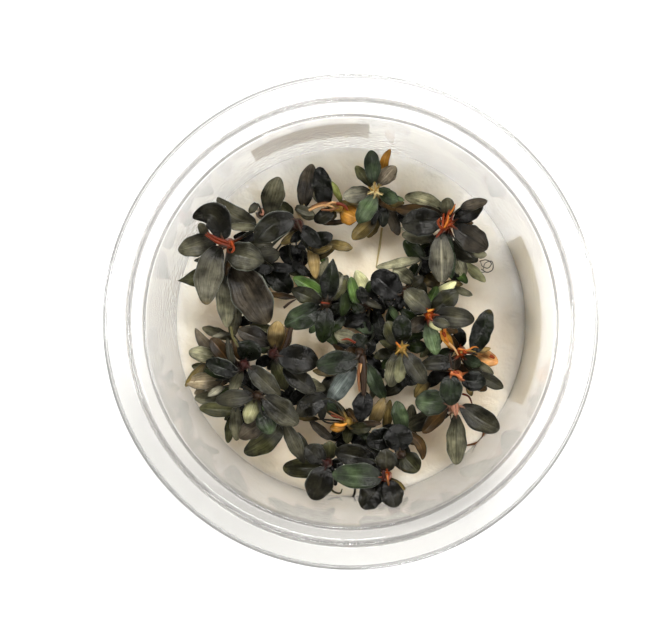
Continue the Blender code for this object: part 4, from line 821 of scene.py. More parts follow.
# Shoots, stalks and roots that show between the leaves: colour, radius, height above the stem's top or, for a
# root, above the jelly, and the plan points from one end to the other
threads = {
    "northwest": (
        ("ember", 0.42, 0.5, ((-25.0, 15.6), (-27.4, 16.4), (-30.4, 18.2))),
        ("ember", 0.34, 0.4, ((-25.4, 16.4), (-28.0, 17.4), (-30.0, 18.6))),
        ("brown", 0.30, 0.9, ((-25.8, 15.5), (-27.6, 16.0))),
        ("orange", 0.30, 1.0, ((-25.0, 16.8), (-24.4, 15.2), (-24.9, 14.4))),
    ),
    "north_northwest": (("pink", 0.42, 0.2, ((-18.6, 22.2), (-18.3, 23.7))),),
    "inner_northwest": (("brown", 0.35, 0.3, ((-11.2, 20.8), (-10.2, 18.6))),),
    "north_yellow": (
        ("tan", 0.30, 0.5, ((-8.8, 23.2), (-7.0, 24.0), (-5.0, 24.3), (-3.4, 23.8))),
        ("copper", 0.34, 0.3, ((-8.2, 23.8), (-6.4, 24.6), (-4.0, 24.7), (-2.4, 24.2))),
        ("tan", 0.26, 0.7, ((-5.6, 24.0), (-3.8, 24.9), (-1.8, 24.4))),
        ("ember", 0.34, 0.8, ((-3.0, 24.8), (-1.4, 24.2), (-0.6, 23.2))),
        ("copper", 0.24, 0.9, ((-6.2, 23.4), (-4.2, 23.3), (-2.4, 23.9))),
    ),
    "north": (
        ("yellow", 0.20, 0.8, ((5.0, 27.0), (3.6, 28.2))),
        ("yellow", 0.20, 1.1, ((5.2, 27.2), (5.0, 29.2))),
        ("yellow", 0.18, 1.0, ((5.0, 27.4), (6.4, 28.6))),
        ("cream", 0.18, 1.2, ((4.8, 27.2), (3.4, 26.6))),
        ("cream", 0.18, 0.9, ((5.2, 27.0), (6.6, 26.4))),
    ),
    "northeast": (
        ("orange", 0.30, 1.0, ((19.4, 19.2), (20.0, 21.4), (20.6, 23.4))),
        ("orange", 0.26, 1.4, ((19.2, 19.4), (19.2, 21.2), (19.4, 22.6))),
        ("ember", 0.26, 1.2, ((19.6, 19.0), (20.8, 20.8), (21.4, 22.6))),
        ("flame", 0.22, 1.7, ((19.5, 19.6), (20.2, 21.0), (20.4, 22.2))),
        ("orange", 0.26, 0.8, ((19.0, 19.2), (18.2, 20.6), (18.5, 21.6))),
        ("ember", 0.34, 0.6, ((19.8, 19.6), (18.6, 18.6), (17.8, 17.6))),
        ("flame", 0.20, 1.3, ((20.6, 22.4), (21.4, 23.6), (21.8, 24.6))),
        ("orange", 0.24, 1.6, ((20.0, 20.0), (21.4, 20.6))),
    ),
    "west": (("olive", 0.28, -1.0, ((-25.0, -1.0), (-24.6, -3.2), (-23.4, -5.2))),),
    "inner_west": (
        ("brown", 0.48, -2.0, ((-12.4, -1.2), (-13.2, -4.2), (-14.6, -7.0))),
        ("red", 0.30, 0.3, ((-16.2, -6.6), (-15.4, -5.4))),
    ),
    "centre_left": (
        ("brown", 0.28, -0.5, ((-14.0, 2.9), (-12.8, 3.9), (-11.4, 4.7))),
        ("ember", 0.22, 0.3, ((-6.2, 4.0), (-4.4, 3.8))),
    ),
    "centre_south": (
        ("brown", 0.85, -1.2, ((2.3, -7.0), (2.6, -11.0), (2.7, -15.4))),
        ("copper", 0.36, -0.6, ((2.0, -8.6), (1.6, -11.0), (1.8, -14.6))),
        ("tan", 0.16, -0.3, ((2.2, -8.8), (2.0, -10.6))),
        ("ember", 0.24, 0.2, ((1.0, -4.4), (-0.6, -3.6), (-2.0, -3.8))),
    ),
    "inner_southeast": (
        ("flame", 0.20, 0.3, ((10.4, -5.4), (9.4, -4.2))),
        ("yellow", 0.20, 0.5, ((10.8, -5.2), (12.0, -4.8))),
        ("yellow", 0.20, 0.4, ((10.2, -5.8), (9.2, -6.8))),
    ),
    "inner_east": (
        ("flame", 0.30, 0.4, ((16.2, 1.6), (16.8, 0.4))),
        ("amber", 0.26, 0.6, ((16.0, 2.2), (17.2, 2.6))),
    ),
    "east": (
        ("flame", 0.34, 0.0, ((19.6, -1.2), (19.6, -3.0), (20.4, -4.4))),
        ("amber", 0.32, -0.4, ((18.8, -1.8), (19.2, -3.6), (20.4, -5.0))),
        ("orange", 0.40, 0.3, ((19.2, -2.2), (19.8, -3.2))),
        ("tan", 0.26, 0.5, ((20.4, -4.4), (21.6, -5.6), (22.4, -7.0))),
        ("flame", 0.20, 0.4, ((22.4, -5.6), (24.2, -5.9), (25.8, -5.2), (27.0, -5.6))),
        ("yellow", 0.18, 0.2, ((22.8, -6.4), (24.6, -6.0), (26.4, -6.4))),
        ("orange", 0.34, 0.5, ((23.4, -6.0), (24.2, -6.6))),
        ("orange", 0.40, -0.6, ((29.0, -7.0), (30.0, -7.6))),
    ),
    "east_southeast": (
        ("peach", 0.40, 0.4, ((20.8, -10.6), (22.2, -11.0), (23.2, -11.8))),
        ("orange", 0.34, 0.6, ((21.4, -10.4), (22.6, -10.8))),
        ("brown", 0.24, 0.2, ((20.6, -6.6), (21.0, -9.6))),
    ),
    "southeast": (
        ("pink", 0.34, 0.2, ((21.4, -16.8), (21.8, -19.6))),
        ("pink", 0.26, 0.3, ((22.2, -17.0), (22.2, -19.4))),
        ("brown", 0.12, 0.6, ((20.8, -19.4), (20.9, -20.5))),
        ("brown", 0.12, 0.6, ((21.4, -19.4), (21.5, -20.6))),
    ),
    "inner_south": (
        ("copper", 0.16, 0.4, ((-4.6, -18.6), (-3.0, -19.4), (-1.2, -20.2))),
        ("ember", 0.16, 0.5, ((-4.2, -19.4), (-2.6, -20.0), (-1.0, -20.6))),
        ("amber", 0.40, 0.4, ((-3.4, -21.4), (-2.0, -21.6), (-0.8, -21.2))),
    ),
    "south": (
        ("red", 0.36, 0.1, ((6.8, -31.0), (6.9, -33.0))),
        ("copper", 0.26, 0.3, ((7.4, -31.6), (7.7, -33.0), (7.9, -34.2))),
        ("peach", 0.18, 0.5, ((7.6, -32.0), (7.8, -33.0))),
    ),
}
roots = {
    "north": (("cream", 0.26, 0.8, ((6.5, 19.6), (6.0, 15.6), (5.3, 11.4))),),
    "northeast": (
        ("root", 0.11, 1.2, (
            (26.8, 12.6), (28.2, 12.9), (29.3, 12.2), (28.6, 11.2), (27.4, 11.6), (27.0, 12.8))),
        ("root", 0.11, 1.6, (
            (27.2, 11.0), (28.4, 10.3), (29.6, 11.0), (29.4, 12.6), (28.0, 12.2), (27.6, 10.8))),
        ("root", 0.10, 1.0, ((25.6, 11.4), (27.0, 10.4), (28.6, 10.4))),
    ),
    "southeast": (
        ("ember", 0.24, 2.2, ((23.2, -15.0), (24.6, -15.6), (25.4, -17.4))),
        ("copper", 0.36, 0.6, ((27.8, -23.0), (27.4, -24.4), (26.2, -25.3), (24.0, -25.8))),
    ),
    "south_southwest": (("olive", 0.24, 0.6, ((-4.4, -34.6), (-3.4, -35.5), (-2.2, -35.7), (-1.8, -34.8))),),
    "south": (("brown", 0.26, 0.6, ((0.9, -34.8), (0.7, -36.0), (0.0, -36.8), (-1.0, -36.5))),),
}

# What sets single leaves apart: how far the tip hooks down, a pale rim that is partly painted highlight, a
# pale or dark midrib, a withered or pointed tip, how much the blade narrows to its tip or its base, and how
# broad, ruffled or light it is, the lightness partly painted shade
leafTraits = {
    "northwest_1": {"taper": 0.95, "shade": 0.55},
    "northwest_2": {"rim": 0.5, "taper": 0.3, "shade": 0.9},
    "northwest_5": {"rim": 0.9, "wither": 0.1, "taper": 0.0, "shade": 0.62, "broad": 1.04},
    "northwest_6": {"taper": 0.35, "rim": 0.5, "broad": 1.3, "shade": 0.85},
    "northwest_8": {"tipDrop": 0.6, "wither": 0.8, "rim": 0.5, "taper": 0.2, "shade": 0.85},
    "northwest_9": {"tipDrop": 0.7, "taper": 0.3, "broad": 1.22, "shade": 0.75},
    "northwest_10": {"rim": 1.0, "point": 0.5, "taper": 0.1, "shade": 0.75},
    "northwest_11": {"shade": 0.9},
    "northwest_13": {"shade": 0.4},
    "northwest_14": {"shade": 0.3},
    "north_northwest_2": {"taper": 0.2, "waist": 0.3, "shade": 1.1},
    "inner_northwest_1": {"rim": 0.7},
    "inner_northwest_2": {"rim": 1.0, "shade": 1.2},
    "inner_northwest_7": {"rim": 0.9, "point": 0.5, "shade": 0.45},
    "north_small_2": {"ruffle": 5.0, "taper": 0.0, "broad": 1.15},
    "north_yellow_2": {"shade": 0.8, "broad": 1.15},
    "north_yellow_4": {"ruffle": 5.0, "taper": 0.0, "broad": 1.12, "shade": 0.8},
    "north_6": {"waist": 0.4, "shade": 1.9},
    "north_7": {"waist": 0.4, "shade": 1.8},
    "north_9": {"shade": 1.25},
    "north_10": {"rib": 0.2, "waist": 0.45, "taper": 0.0, "shade": 2.4},
    "north_11": {"shade": 1.6},
    "northeast_6": {"rim": 0.4, "shade": 2.2},
    "northeast_10": {"shade": 1.2},
    "northeast_11": {"taper": 0.2},
    "northeast_14": {"rib": -0.4, "rim": 0.5},
    "northeast_15": {"rib": -0.6, "waist": 0.3, "shade": 1.15},
    "northeast_16": {"rib": 0.9, "rim": 0.3, "waist": 0.3, "shade": 1.1},
    "inner_northeast_3": {"shade": 0.7},
    "centre_left_3": {"shade": 0.7},
    "centre_left_4": {"rib": 0.5, "rim": 0.4},
    "centre_left_6": {"taper": 0.75, "shade": 0.65},
    "west_3": {"taper": 0.5},
    "west_5": {"rib": 0.7, "rim": 0.5, "shade": 0.85},
    "west_7": {"rib": 0.7},
    "west_8": {"rim": 1.0, "shade": 0.4},
    "west_9": {"shade": 0.5},
    "west_10": {"rim": 0.8, "taper": 0.1},
    "inner_west_3": {"shade": 0.6},
    "inner_west_4": {"shade": 0.8},
    "inner_west_5": {"shade": 1.9},
    "inner_west_6": {"rib": 0.3, "rim": 0.6},
    "inner_west_7": {"shade": 0.8},
    "southwest_8": {"rim": 0.4, "waist": 0.5, "taper": 0.35},
    "southwest_11": {"shade": 0.75},
    "southwest_12": {"shade": 1.15},
    "centre_south_3": {"rim": 0.6, "rib": 0.5},
    "centre_south_5": {"shade": 0.6},
    "centre_south_6": {"taper": 0.3, "shade": 0.3},
    "centre_south_7": {"rib": 0.3, "rim": 0.4, "shade": 0.7},
    "inner_southeast_5": {"shade": 1.1},
    "inner_southeast_6": {"shade": 0.6},
    "inner_east_5": {"shade": 1.2},
    "inner_east_6": {"shade": 0.8},
    "inner_east_8": {"shade": 0.75},
    "east_6": {"shade": 1.2},
    "east_7": {"tipDrop": 0.7, "wither": 0.5, "shade": 0.7},
    "east_southeast_2": {"shade": 0.75},
    "east_southeast_3": {"shade": 0.4},
    "southeast_1": {"shade": 1.3},
    "southeast_3": {"rib": -0.5, "rim": 0.3, "waist": 0.3, "taper": 0.0, "shade": 0.75, "point": 0.0},
    "southeast_4": {"tipDrop": 0.8, "waist": 0.2, "shade": 0.25, "broad": 1.05, "taper": 0.0, "point": 0.0},
    "southeast_5": {"shade": 0.8},
    "inner_south_3": {"shade": 0.35},
    "inner_south_7": {"shade": 0.6},
    "south_southwest_4": {"rim": 0.8, "shade": 1.2},
    "south_1": {"shade": 0.6},
    "south_2": {"rim": 0.4, "shade": 0.5},
    "south_3": {"shade": 0.4},
    "south_4": {"shade": 2.4},
    "south_5": {"rim": 0.5, "shade": 1.4},
    "south_southeast_4": {"rim": 0.7, "shade": 0.5},
}


def beyond(along, start):    # 0 up to the start, then rising to 1 at the tip
    return max(0.0, (along - start) / (1 - start))


class Leaf:    # a blade and its stalk, in readings, at a height that settling gives
    def __init__(self, plantlet, number, row, stem):
        self.name = f"{plantlet}_{number}"
        self.plantlet = plantlet
        self.base, self.tip = np.array(row[0:2]), np.array(row[2:4])
        self.width, self.tier, self.lift, self.tone = row[4:8]
        self.bend = row[8] if len(row) > 8 else 0.0
        self.stem = np.array(stem)
        self.length = float(np.hypot(*(self.tip - self.base)))
        reach = float(np.hypot(*(self.base - self.stem)))
        self.drop = min(plants["stalkDrop"] * reach, plants["deepestDrop"])
        self.height = plants["lowestLeaf"] + plants["tierStep"] * self.tier
        self.traits = leafTraits.get(self.name, {})
        self.twist = chance.uniform(-0.09, 0.09)
        self.waves = chance.uniform(1.2, 2.6)
        self.phase = chance.uniform(0.0, math.tau)
        self.ruffle = chance.uniform(0.03, 0.07) * self.width * self.traits.get("ruffle", 1.0)
        self.point = self.traits.get("point", chance.uniform(0.0, 0.12))
        self.taper = self.traits.get("taper", chance.uniform(0.0, 0.12))
        self.waist = self.traits.get("waist", chance.uniform(0.0, 0.15))
        self.foot = min(plants["footShare"] * reach, plants["longestFoot"]) / self.length
        self.shade = chance.uniform(0.88, 1.12) * plants["tierShade"][self.tier]
        self.shade *= self.traits.get("shade", 1.0)

    def middle(self, along):
        along = np.asarray(along)[..., None]
        across = np.array((self.base[1] - self.tip[1], self.tip[0] - self.base[0])) / self.length
        return self.base + (self.tip - self.base) * along + across * self.bend * 4 * along * (1 - along)

    def sideways(self, along):
        step = 0.01
        ahead = self.middle(np.asarray(along) + step) - self.middle(np.asarray(along) - step)
        ahead = ahead / np.hypot(ahead[..., 0], ahead[..., 1])[..., None]
        return np.stack((-ahead[..., 1], ahead[..., 0]), -1)

    def halfWidth(self, along):
        share = np.clip(along, 0.0, 1.0) ** plants["widest"]
        return 0.5 * plants["fullness"] * self.width * np.sin(math.pi * share) ** plants["bluntness"]

    def rise(self, along):
        return self.lift * along + plants["arch"] * self.length * 4 * along * (1 - along)

    def stalk(self, along):
        along = np.asarray(along, float)
        reach = float(np.hypot(*(self.base - self.stem)))
        sideways = self.sideways(0.02)
        turn = self.base - np.array((sideways[1], -sideways[0])) * plants["stalkTurn"] * reach
        share = along[..., None]
        plan = self.stem * (1 - share) ** 2 + turn * 2 * share * (1 - share) + self.base * share ** 2
        return plan, -self.drop * (1 - along) ** 2

    def samples(self):    # plan points with the under and upper side above the base
        lengthwise, crosswise = plants["bladeSamples"]
        along = np.linspace(plants["firstSample"], 1.0, lengthwise)
        along, across = np.meshgrid(along, np.linspace(-1, 1, crosswise), indexing="ij")
        half = self.halfWidth(along)
        plan = self.middle(along) + self.sideways(along) * (half * across)[..., None]
        level = self.rise(along) + plants["edgeRaise"] * half * np.abs(across) * plants["edgeMargin"]
        thick = 0.5 * plants["thickness"]
        sides = (level - thick)[..., None], (level + thick)[..., None]
        blade = np.concatenate((plan, *sides), -1).reshape(-1, 4)
        plan, level = self.stalk(np.linspace(0.0, 1.0, plants["stalkSamples"]))
        away = np.hypot(*(plan - self.stem).T) > plants["stemRadius"]
        half = 0.5 * plants["stalkWidth"]
        return np.concatenate((blade, np.column_stack((plan, level - half, level + half))[away]))

    def bladePoint(self, along, across):    # on the shown upper side, whose foot runs on down the stalk
        share = (along + self.foot) / (1 + self.foot)
        half = float(self.halfWidth(share)) * self.traits.get("broad", 1.0)
        if share > 0.5:    # a blunter tip than a plain oval
            half *= (0.25 + 0.75 * math.sin(math.pi * min(share, 0.999))) ** plants["bluntTip"]
        half *= 1 - self.point * beyond(along, plants["pointFrom"])
        half *= 1 - self.taper * beyond(along, plants["taperFrom"]) ** 1.3
        half *= 1 - self.waist * max(0.0, (plants["waistTo"] - along) / plants["waistTo"]) ** 1.2
        side = 0.8 if across > 0 else 0.0    # its two sides differ
        bumps = math.sin(math.tau * 1.3 * self.waves * share + 2 * self.phase + 3 * side)
        half *= 1 + plants["wobble"] * bumps
        plan, level = self.middle(along), float(self.rise(along))
        if along < 0:
            plan, level = self.stalk(1 + along * self.length / float(np.hypot(*(self.base - self.stem))))
        plan = plan + self.sideways(along) * half * across
        level = self.height + float(level) + plants["edgeRaise"] * half * abs(across) ** 1.3
        level += half * across * self.twist
        swing = math.sin(math.tau * self.waves * along + self.phase + side)
        level += self.ruffle * swing * across * across * math.sin(math.pi * max(along, 0.0))
        level -= self.traits.get("tipDrop", plants["tipDrop"]) * beyond(along, plants["hookFrom"]) ** 2
        return onSightLine(*plan, level + 0.5 * plants["skin"])


def wallFloor(x, y):    # lowest height that is clear of the leaning wall
    (lowRadius, lowHeight), (highRadius, highHeight) = cupWallInside
    lean = (highRadius - lowRadius) / (highHeight - lowHeight)
    readRadius = np.hypot(x, y)
    span = eye["height"] - eye["readingHeight"]
    clearRadius = lowRadius - lean * lowHeight - plants["wallClearance"]
    return (readRadius * eye["height"] / span - clearRadius) / (lean + readRadius / span)


def cellsOf(x, y):
    column = np.clip(((x + plants["mapHalf"]) / plants["cell"]).astype(int), 1, mapSize - 2)
    row = np.clip(((y + plants["mapHalf"]) / plants["cell"]).astype(int), 1, mapSize - 2)
    return column, row


def settle(leaves):    # lets each leaf down on what is under it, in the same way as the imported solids
    ground = np.full((mapSize, mapSize), jelly["top"] + jelly["rimHeight"])
    stemTops = {plantlet: jelly["top"] for plantlet in plantlets}
    for leaf in sorted(leaves, key=lambda each: (each.tier, not each.solid)):
        x, y, under, over = leaf.samples().T
        column, row = cellsOf(x, y)
        clearance = plants["clearance"] if leaf.solid else plants["looseClearance"]
        needed = np.maximum(ground[column, row] + clearance, wallFloor(x, y)) - under
        for plantlet, (colour, (stemX, stemY), rows) in plantlets.items():
            if plantlet != leaf.plantlet:
                near = np.hypot(x - stemX, y - stemY) < plants["stemRadius"] + clearance
                needed = np.where(near, np.maximum(needed, stemTops[plantlet] + clearance - under), needed)
        leaf.height = max(leaf.height, float(needed.max()))
        if not leaf.solid:
            continue
        for shiftX in (-1, 0, 1):
            for shiftY in (-1, 0, 1):
                np.maximum.at(ground, (column + shiftX, row + shiftY), leaf.height + over)
        top = leaf.height - leaf.drop + 0.5 * plants["stalkWidth"] + plants["stemCap"]
        stemTops[leaf.plantlet] = max(stemTops[leaf.plantlet], top)
    return stemTops


def readLeaves():
    leaves = []
    for plantlet, (colour, stem, rows) in plantlets.items():
        for number, row in enumerate((*rows, *smallLeaves[plantlet]), 1):
            leaf = Leaf(plantlet, number, row, stem)
            leaf.solid = number <= len(rows) and leaf.width >= plants["smallestSolid"]
            leaf.own = "leaf_" + leaf.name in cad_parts
            leaves.append(leaf)
    return leaves


def bladeShape(leaf, slotNumber):
    shape = newShape()
    lean = shape.verts.layers.float_vector.new("lean")    # which way each point of the upper side faces
    short = leaf.length < plants["shortLeaf"]
    columns = plants["along"] - (plants["fewerAlong"] if short else 0)
    rows = plants["across"] - (plants["fewerAcross"] if short else 0)
    bmesh.ops.create_grid(shape, x_segments=columns, y_segments=rows, size=0.5)
    uv = shape.loops.layers.uv["blade"]
    for face in shape.faces:
        face.smooth = True
        face.material_index = slotNumber
        for loop in face.loops:
            loop[uv].uv = (loop.vert.co.x + 0.5, loop.vert.co.y + 0.5)
    for vertex in shape.verts:
        share = 0.5 - 0.5 * math.cos(math.pi * (vertex.co.x + 0.5))    # closer stations at both ends
        along = share * (1 + leaf.foot) - leaf.foot + 0.01 * (1 - share)
        vertex.co = leaf.bladePoint(along, 2 * vertex.co.y) * mm
    bmesh.ops.remove_doubles(shape, verts=shape.verts, dist=1e-5)
    bmesh.ops.recalc_face_normals(shape, faces=shape.faces)
    if sum(face.normal.z for face in shape.faces) < 0:
        bmesh.ops.reverse_faces(shape, faces=shape.faces)
    shape.normal_update()
    for vertex in shape.verts:
        vertex[lean] = vertex.normal
    under = bmesh.ops.extrude_face_region(shape, geom=shape.faces[:], use_keep_orig=True)["geom"]
    for item in under:
        if isinstance(item, bmesh.types.BMVert):
            item.co -= item[lean] * plants["skin"] * mm
    shape.verts.layers.float_vector.remove(lean)
    bmesh.ops.recalc_face_normals(shape, faces=shape.faces)
    values = {
        "shade": leaf.shade, "rim": leaf.traits.get("rim", 0.2),
        "rib": leaf.traits.get("rib", 0.25), "wither": leaf.traits.get("wither", 0.0),
    }
    for name, value in values.items():
        layer = shape.verts.layers.float[name]
        for vertex in shape.verts:
            vertex[layer] = value
    return shape


def tubeShape(path, radii, sides, slotNumber, fades=None):    # a round tube through points in mm
    shape = newShape()
    ring = bmesh.ops.create_circle(shape, cap_ends=False, segments=sides, radius=1.0)["verts"]
    flat = [vertex.co.copy() for vertex in ring]
    edges = shape.edges[:]
    fade = shape.verts.layers.float["fade"]
    for step, point in enumerate(path):
        ahead = (path[min(step + 1, len(path) - 1)] - path[max(step - 1, 0)]).normalized()
        turn = ahead.to_track_quat("Z", "Y").to_matrix()
        if step:
            made = bmesh.ops.extrude_edge_only(shape, edges=edges)["geom"]
            edges = [item for item in made if isinstance(item, bmesh.types.BMEdge) and item.is_boundary]
            moved = [item for item in made if isinstance(item, bmesh.types.BMVert)]
            ring = ringMatch(ring, moved)
        for vertex, place in zip(ring, flat):
            vertex.co = (point + turn @ (place * radii[step])) * mm
            vertex[fade] = fades[step] if fades else 0.0
    bmesh.ops.holes_fill(shape, edges=[edge for edge in shape.edges if edge.is_boundary], sides=sides)
    bmesh.ops.recalc_face_normals(shape, faces=shape.faces)
    for face in shape.faces:
        face.smooth = True
        face.material_index = slotNumber
    return shape


def ringMatch(ring, moved):    # the new point that grew from each old one
    fresh = set(moved)
    matched = []
    for vertex in ring:
        for edge in vertex.link_edges:
            other = edge.other_vert(vertex)
            if other in fresh:
                matched.append(other)
                break
    return matched


def smoothPath(points, steps):    # a soft curve through a few points
    padded = [points[0] * 2 - points[1], *points, points[-1] * 2 - points[-2]]
    path = []
    for index in range(len(points) - 1):
        a, b, c, d = padded[index:index + 4]
        for step in range(steps):
            t = step / steps
            path.append(0.5 * (2 * b + (c - a) * t + (2 * a - 5 * b + 4 * c - d) * t ** 2
                               + (3 * b - a - 3 * c + d) * t ** 3))
    path.append(points[-1])
    return path


def stalkShape(leaf, slotNumber):
    path = []
    radii = []
    fades = []    # the stem's colour gives way to the leaf's
    half = 0.5 * plants["stalkWidth"]
    if leaf.width < plants["smallestSolid"]:
        half *= plants["smallStalk"]
    for step in range(plants["stalkSteps"] + 1):
        along = step / plants["stalkSteps"]
        plan, level = leaf.stalk(along)
        path.append(onSightLine(*plan, leaf.height + float(level)))
        radii.append(half * (0.85 - 0.2 * along))
        away = math.hypot(*(plan - leaf.stem))
        fades.append(min(1.0, max(0.0, (away - plants["crownGlow"]) / plants["glowFade"])))
    for along in (0.12, 0.3):    # the stalk runs on under the blade as its midrib
        plan = leaf.middle(along)
        level = leaf.height + float(leaf.rise(along)) - 0.5 * plants["skin"]
        path.append(onSightLine(*plan, level))
        radii.append(half * (0.62 - along))
        fades.append(1.0)
    return tubeShape(path, radii, plants["thinSides"], slotNumber, fades)


def threadShape(points, radius, height, slotNumber):    # a thin shoot, stalk or root, thinner at its far end
    path = smoothPath([onSightLine(*point, height) for point in points], plants["threadSteps"])
    radii = [radius * (1 - 0.55 * (step / (len(path) - 1)) ** 3) for step in range(len(path))]
    return tubeShape(path, radii, plants["thinSides"], slotNumber)


def stemShape(plantlet, top, slotNumber):
    colour, (stemX, stemY), rows = plantlets[plantlet]
    low, high = plants["stemFoot"], top - 0.5 * plants["stemCap"]
    path = []
    radii = []
    for step in range(plants["stemSteps"] + 1):
        share = step / plants["stemSteps"]
        height = low + (high - low) * share
        lean = onSightLine(stemX, stemY, max(height, jelly["top"]))
        sway = plants["sway"] * math.sin(share * 5 + len(plantlet))
        path.append(Vector((lean.x + sway * share * (1 - share), lean.y, height)))
        radius = plants["footRadius"] + (plants["stemRadius"] * 0.8 - plants["footRadius"]) * share
        radii.append(radius + plants["scar"] * math.sin(step * 2.2))    # scars of old leaves
    radii[-1] = plants["stemTip"]
    return tubeShape(path, radii, plants["stemSides"], slotNumber)


def makePlantlet(plantlet, leaves, top, leafMaterials, stemMaterials):
    colour = plantlets[plantlet][0]
    tones = sorted({leaf.tone for leaf in leaves if not leaf.own})
    whole = newShape()
    joinInto(whole, stemShape(plantlet, top, 0))
    hues = [colour]
    strands = [(top, row) for row in threads.get(plantlet, ())]
    strands += [(jelly["top"], row) for row in roots.get(plantlet, ())]
    for level, (hue, radius, lift, points) in strands:
        hues += [] if hue in hues else [hue]
        joinInto(whole, threadShape(points, radius, level + lift, hues.index(hue)))
    for leaf in leaves:
        joinInto(whole, stalkShape(leaf, 0))
        if not leaf.own:
            joinInto(whole, bladeShape(leaf, len(hues) + tones.index(leaf.tone)))
    materials = [stemMaterials[hue] for hue in hues] + [leafMaterials[tone] for tone in tones]
    finishPiece("plantlet_" + plantlet, whole, materials, "stem_" + plantlet)


def makeOwnLeaf(leaf, leafMaterials):
    finishPiece("blade_" + leaf.name, bladeShape(leaf, 0), [leafMaterials[leaf.tone]],
                "leaf_" + leaf.name)


# Leaf tones: dark and light colour, colour of the midrib, roughness
leafTones = {
    "ink": ("010100", "060603", "10110B", 0.24),
    "night": ("030402", "0E0F08", "1E1F16", 0.24),
    "slate": ("0C0B06", "2A281C", "3C392B", 0.24),
    "moss": ("060C02", "1A220B", "2E381C", 0.25),
    "olive": ("16160A", "424128", "545438", 0.27),
    "ash": ("201E13", "565341", "68644E", 0.27),
    "stone": ("302E21", "726F57", "868266", 0.30),
    "silver": ("38352A", "7E7A67", "98927A", 0.30),
    "mauve": ("1C1710", "4E4639", "625A48", 0.28),
    "taupe": ("3E3628", "746850", "8C806A", 0.36),
    "bronze": ("211908", "564928", "6A5C38", 0.34),
    "teal": ("0F150B", "343E29", "46533E", 0.25),
    "jade": ("1D2916", "4F5C3E", "647654", 0.28),
    "bluegrey": ("2A302D", "6C736D", "828A84", 0.25),
    "lime": ("787E40", "B0B66C", "C0C480", 0.38),
    "fresh": ("16240A", "405426", "6A8040", 0.32),
    "straw": ("5A4826", "88744A", "A08C60", 0.42),
    "cream": ("7E7C52", "B4B288", "C6C4A0", 0.42),
    "amber": ("6A440E", "A27026", "D0A058", 0.38),
    "rust": ("150D04", "423018", "5E4426", 0.34),
    "flame": ("9A5A2C", "D6A466", "E8C08C", 0.38),
}


def leafMaterial(tone, spec):
    # A thick waxy leaf, grown: dark and satin, with a sunk midrib and fine lengthwise veins; painted shade
    # darkens its throat and flanks, and its thin paler rim is partly painted highlight
    dark, light, ribColour, roughness = spec
    material, surface = newMaterial("waxy_leaf_" + tone)
    place = objectPlace(material)
    blade = addNode(material, "ShaderNodeUVMap", {"uv_map": "blade"}).outputs["UV"]
    along, sideways, _ = splitAxes(material, blade)
    aside = compute(material, "ABSOLUTE", compute(material, "SUBTRACT", sideways, 0.5))
    across = compute(material, "MULTIPLY", aside, 2.0)    # 0 on the midrib, 1 at the rim
    shade, rim, rib, wither = (readLayer(material, name) for name in ("shade", "rim", "rib", "wither"))
    lengthwise = addNode(material, "ShaderNodeCombineXYZ", None, {
        "X": compute(material, "MULTIPLY", along, 4.5), "Y": compute(material, "MULTIPLY", sideways, 26.0),
        "Z": compute(material, "MULTIPLY", shade, 90.0)}).outputs["Vector"]
    veins = noiseField(material, lengthwise, 1.0, 3.0, {"Roughness": 0.6})    # about 26 across a blade
    mottle = noiseField(material, place, 620.0, 4.0, {"Roughness": 0.6})    # 1.6 mm
    cells = noiseField(material, place, 4200.0, 2.0)    # 0.24 mm
    swathes = noiseField(material, place, 250.0, 2.0)    # 4 mm
    midrib = remap(material, across, 0.02, 0.14, 1.0, 0.0)
    edge = remap(material, across, 0.93, 1.0, 0.0, 0.75)
    patches = remap(material, mottle, 0.3, 0.7, -0.28, 0.28, soft=False)
    lines = remap(material, veins, 0.3, 0.7, 0.06, 0.94, soft=False)
    streaked = compute(material, "ADD", lines, patches, clamp=True)
    paleRib = compute(material, "MULTIPLY", midrib, rib, clamp=True)
    darkRib = compute(material, "MULTIPLY", midrib, compute(material, "MULTIPLY", rib, -1.0), clamp=True)
    farEnd = remap(material, along, 0.78, 0.97)
    dying = compute(material, "MULTIPLY", farEnd, wither, clamp=True)
    body = blend(material, streaked, dark, light)
    ribbed = blend(material, darkRib, blend(material, paleRib, body, ribColour), "14160F")
    withered = blend(material, dying, ribbed, "8A7448")
    # painted shade: darkest at the throat near the crown, lighter out to the tip, darker on the flanks
    throatShade = remap(material, along, 0.02, 0.62, 0.14, 1.3)
    flankShade = remap(material, across, 0.45, 1.0, 1.05, 0.7)
    swathe = remap(material, swathes, 0.34, 0.66, 0.35, 1.7, soft=False)
    shadeAndSwathes = compute(material, "MULTIPLY", compute(material, "MULTIPLY", throatShade, flankShade), swathe)
    shaded = addNode(material, "ShaderNodeVectorMath", {"operation": "SCALE"}, {
        0: withered, "Scale": compute(material, "MULTIPLY", shadeAndSwathes, shade)}).outputs[0]
    # a thin pale rim, partly the blade's own paler margin and partly painted highlight
    rimHighlighted = blend(material, compute(material, "MULTIPLY", edge, rim, clamp=True), shaded, "62655B")
    veined = compute(material, "MULTIPLY_ADD", veins, 1.5, cells)
    mottled = compute(material, "MULTIPLY_ADD", mottle, 2.0, veined)
    relief = compute(material, "MULTIPLY_ADD", midrib, -1.2, mottled)
    bump = bumpFrom(material, relief, 0.35, 0.18)
    gloss = remap(material, mottle, 0.3, 0.7, roughness - 0.08, roughness + 0.10, soft=False)
    link = material.node_tree.links.new
    link(rimHighlighted, surface.inputs["Base Color"])
    link(gloss, surface.inputs["Roughness"])
    link(bump, surface.inputs["Normal"])
    link(bump, surface.inputs["Coat Normal"])
    surface.inputs["IOR"].default_value = 1.42
    surface.inputs["Specular IOR Level"].default_value = 0.07
    surface.inputs["Coat Weight"].default_value = 0.32    # the film of water on it
    surface.inputs["Coat Roughness"].default_value = 0.13
    surface.inputs["Coat IOR"].default_value = 1.33
    surface.inputs["Specular Tint"].default_value = (1.0, 0.93, 0.82, 1.0)
    return material


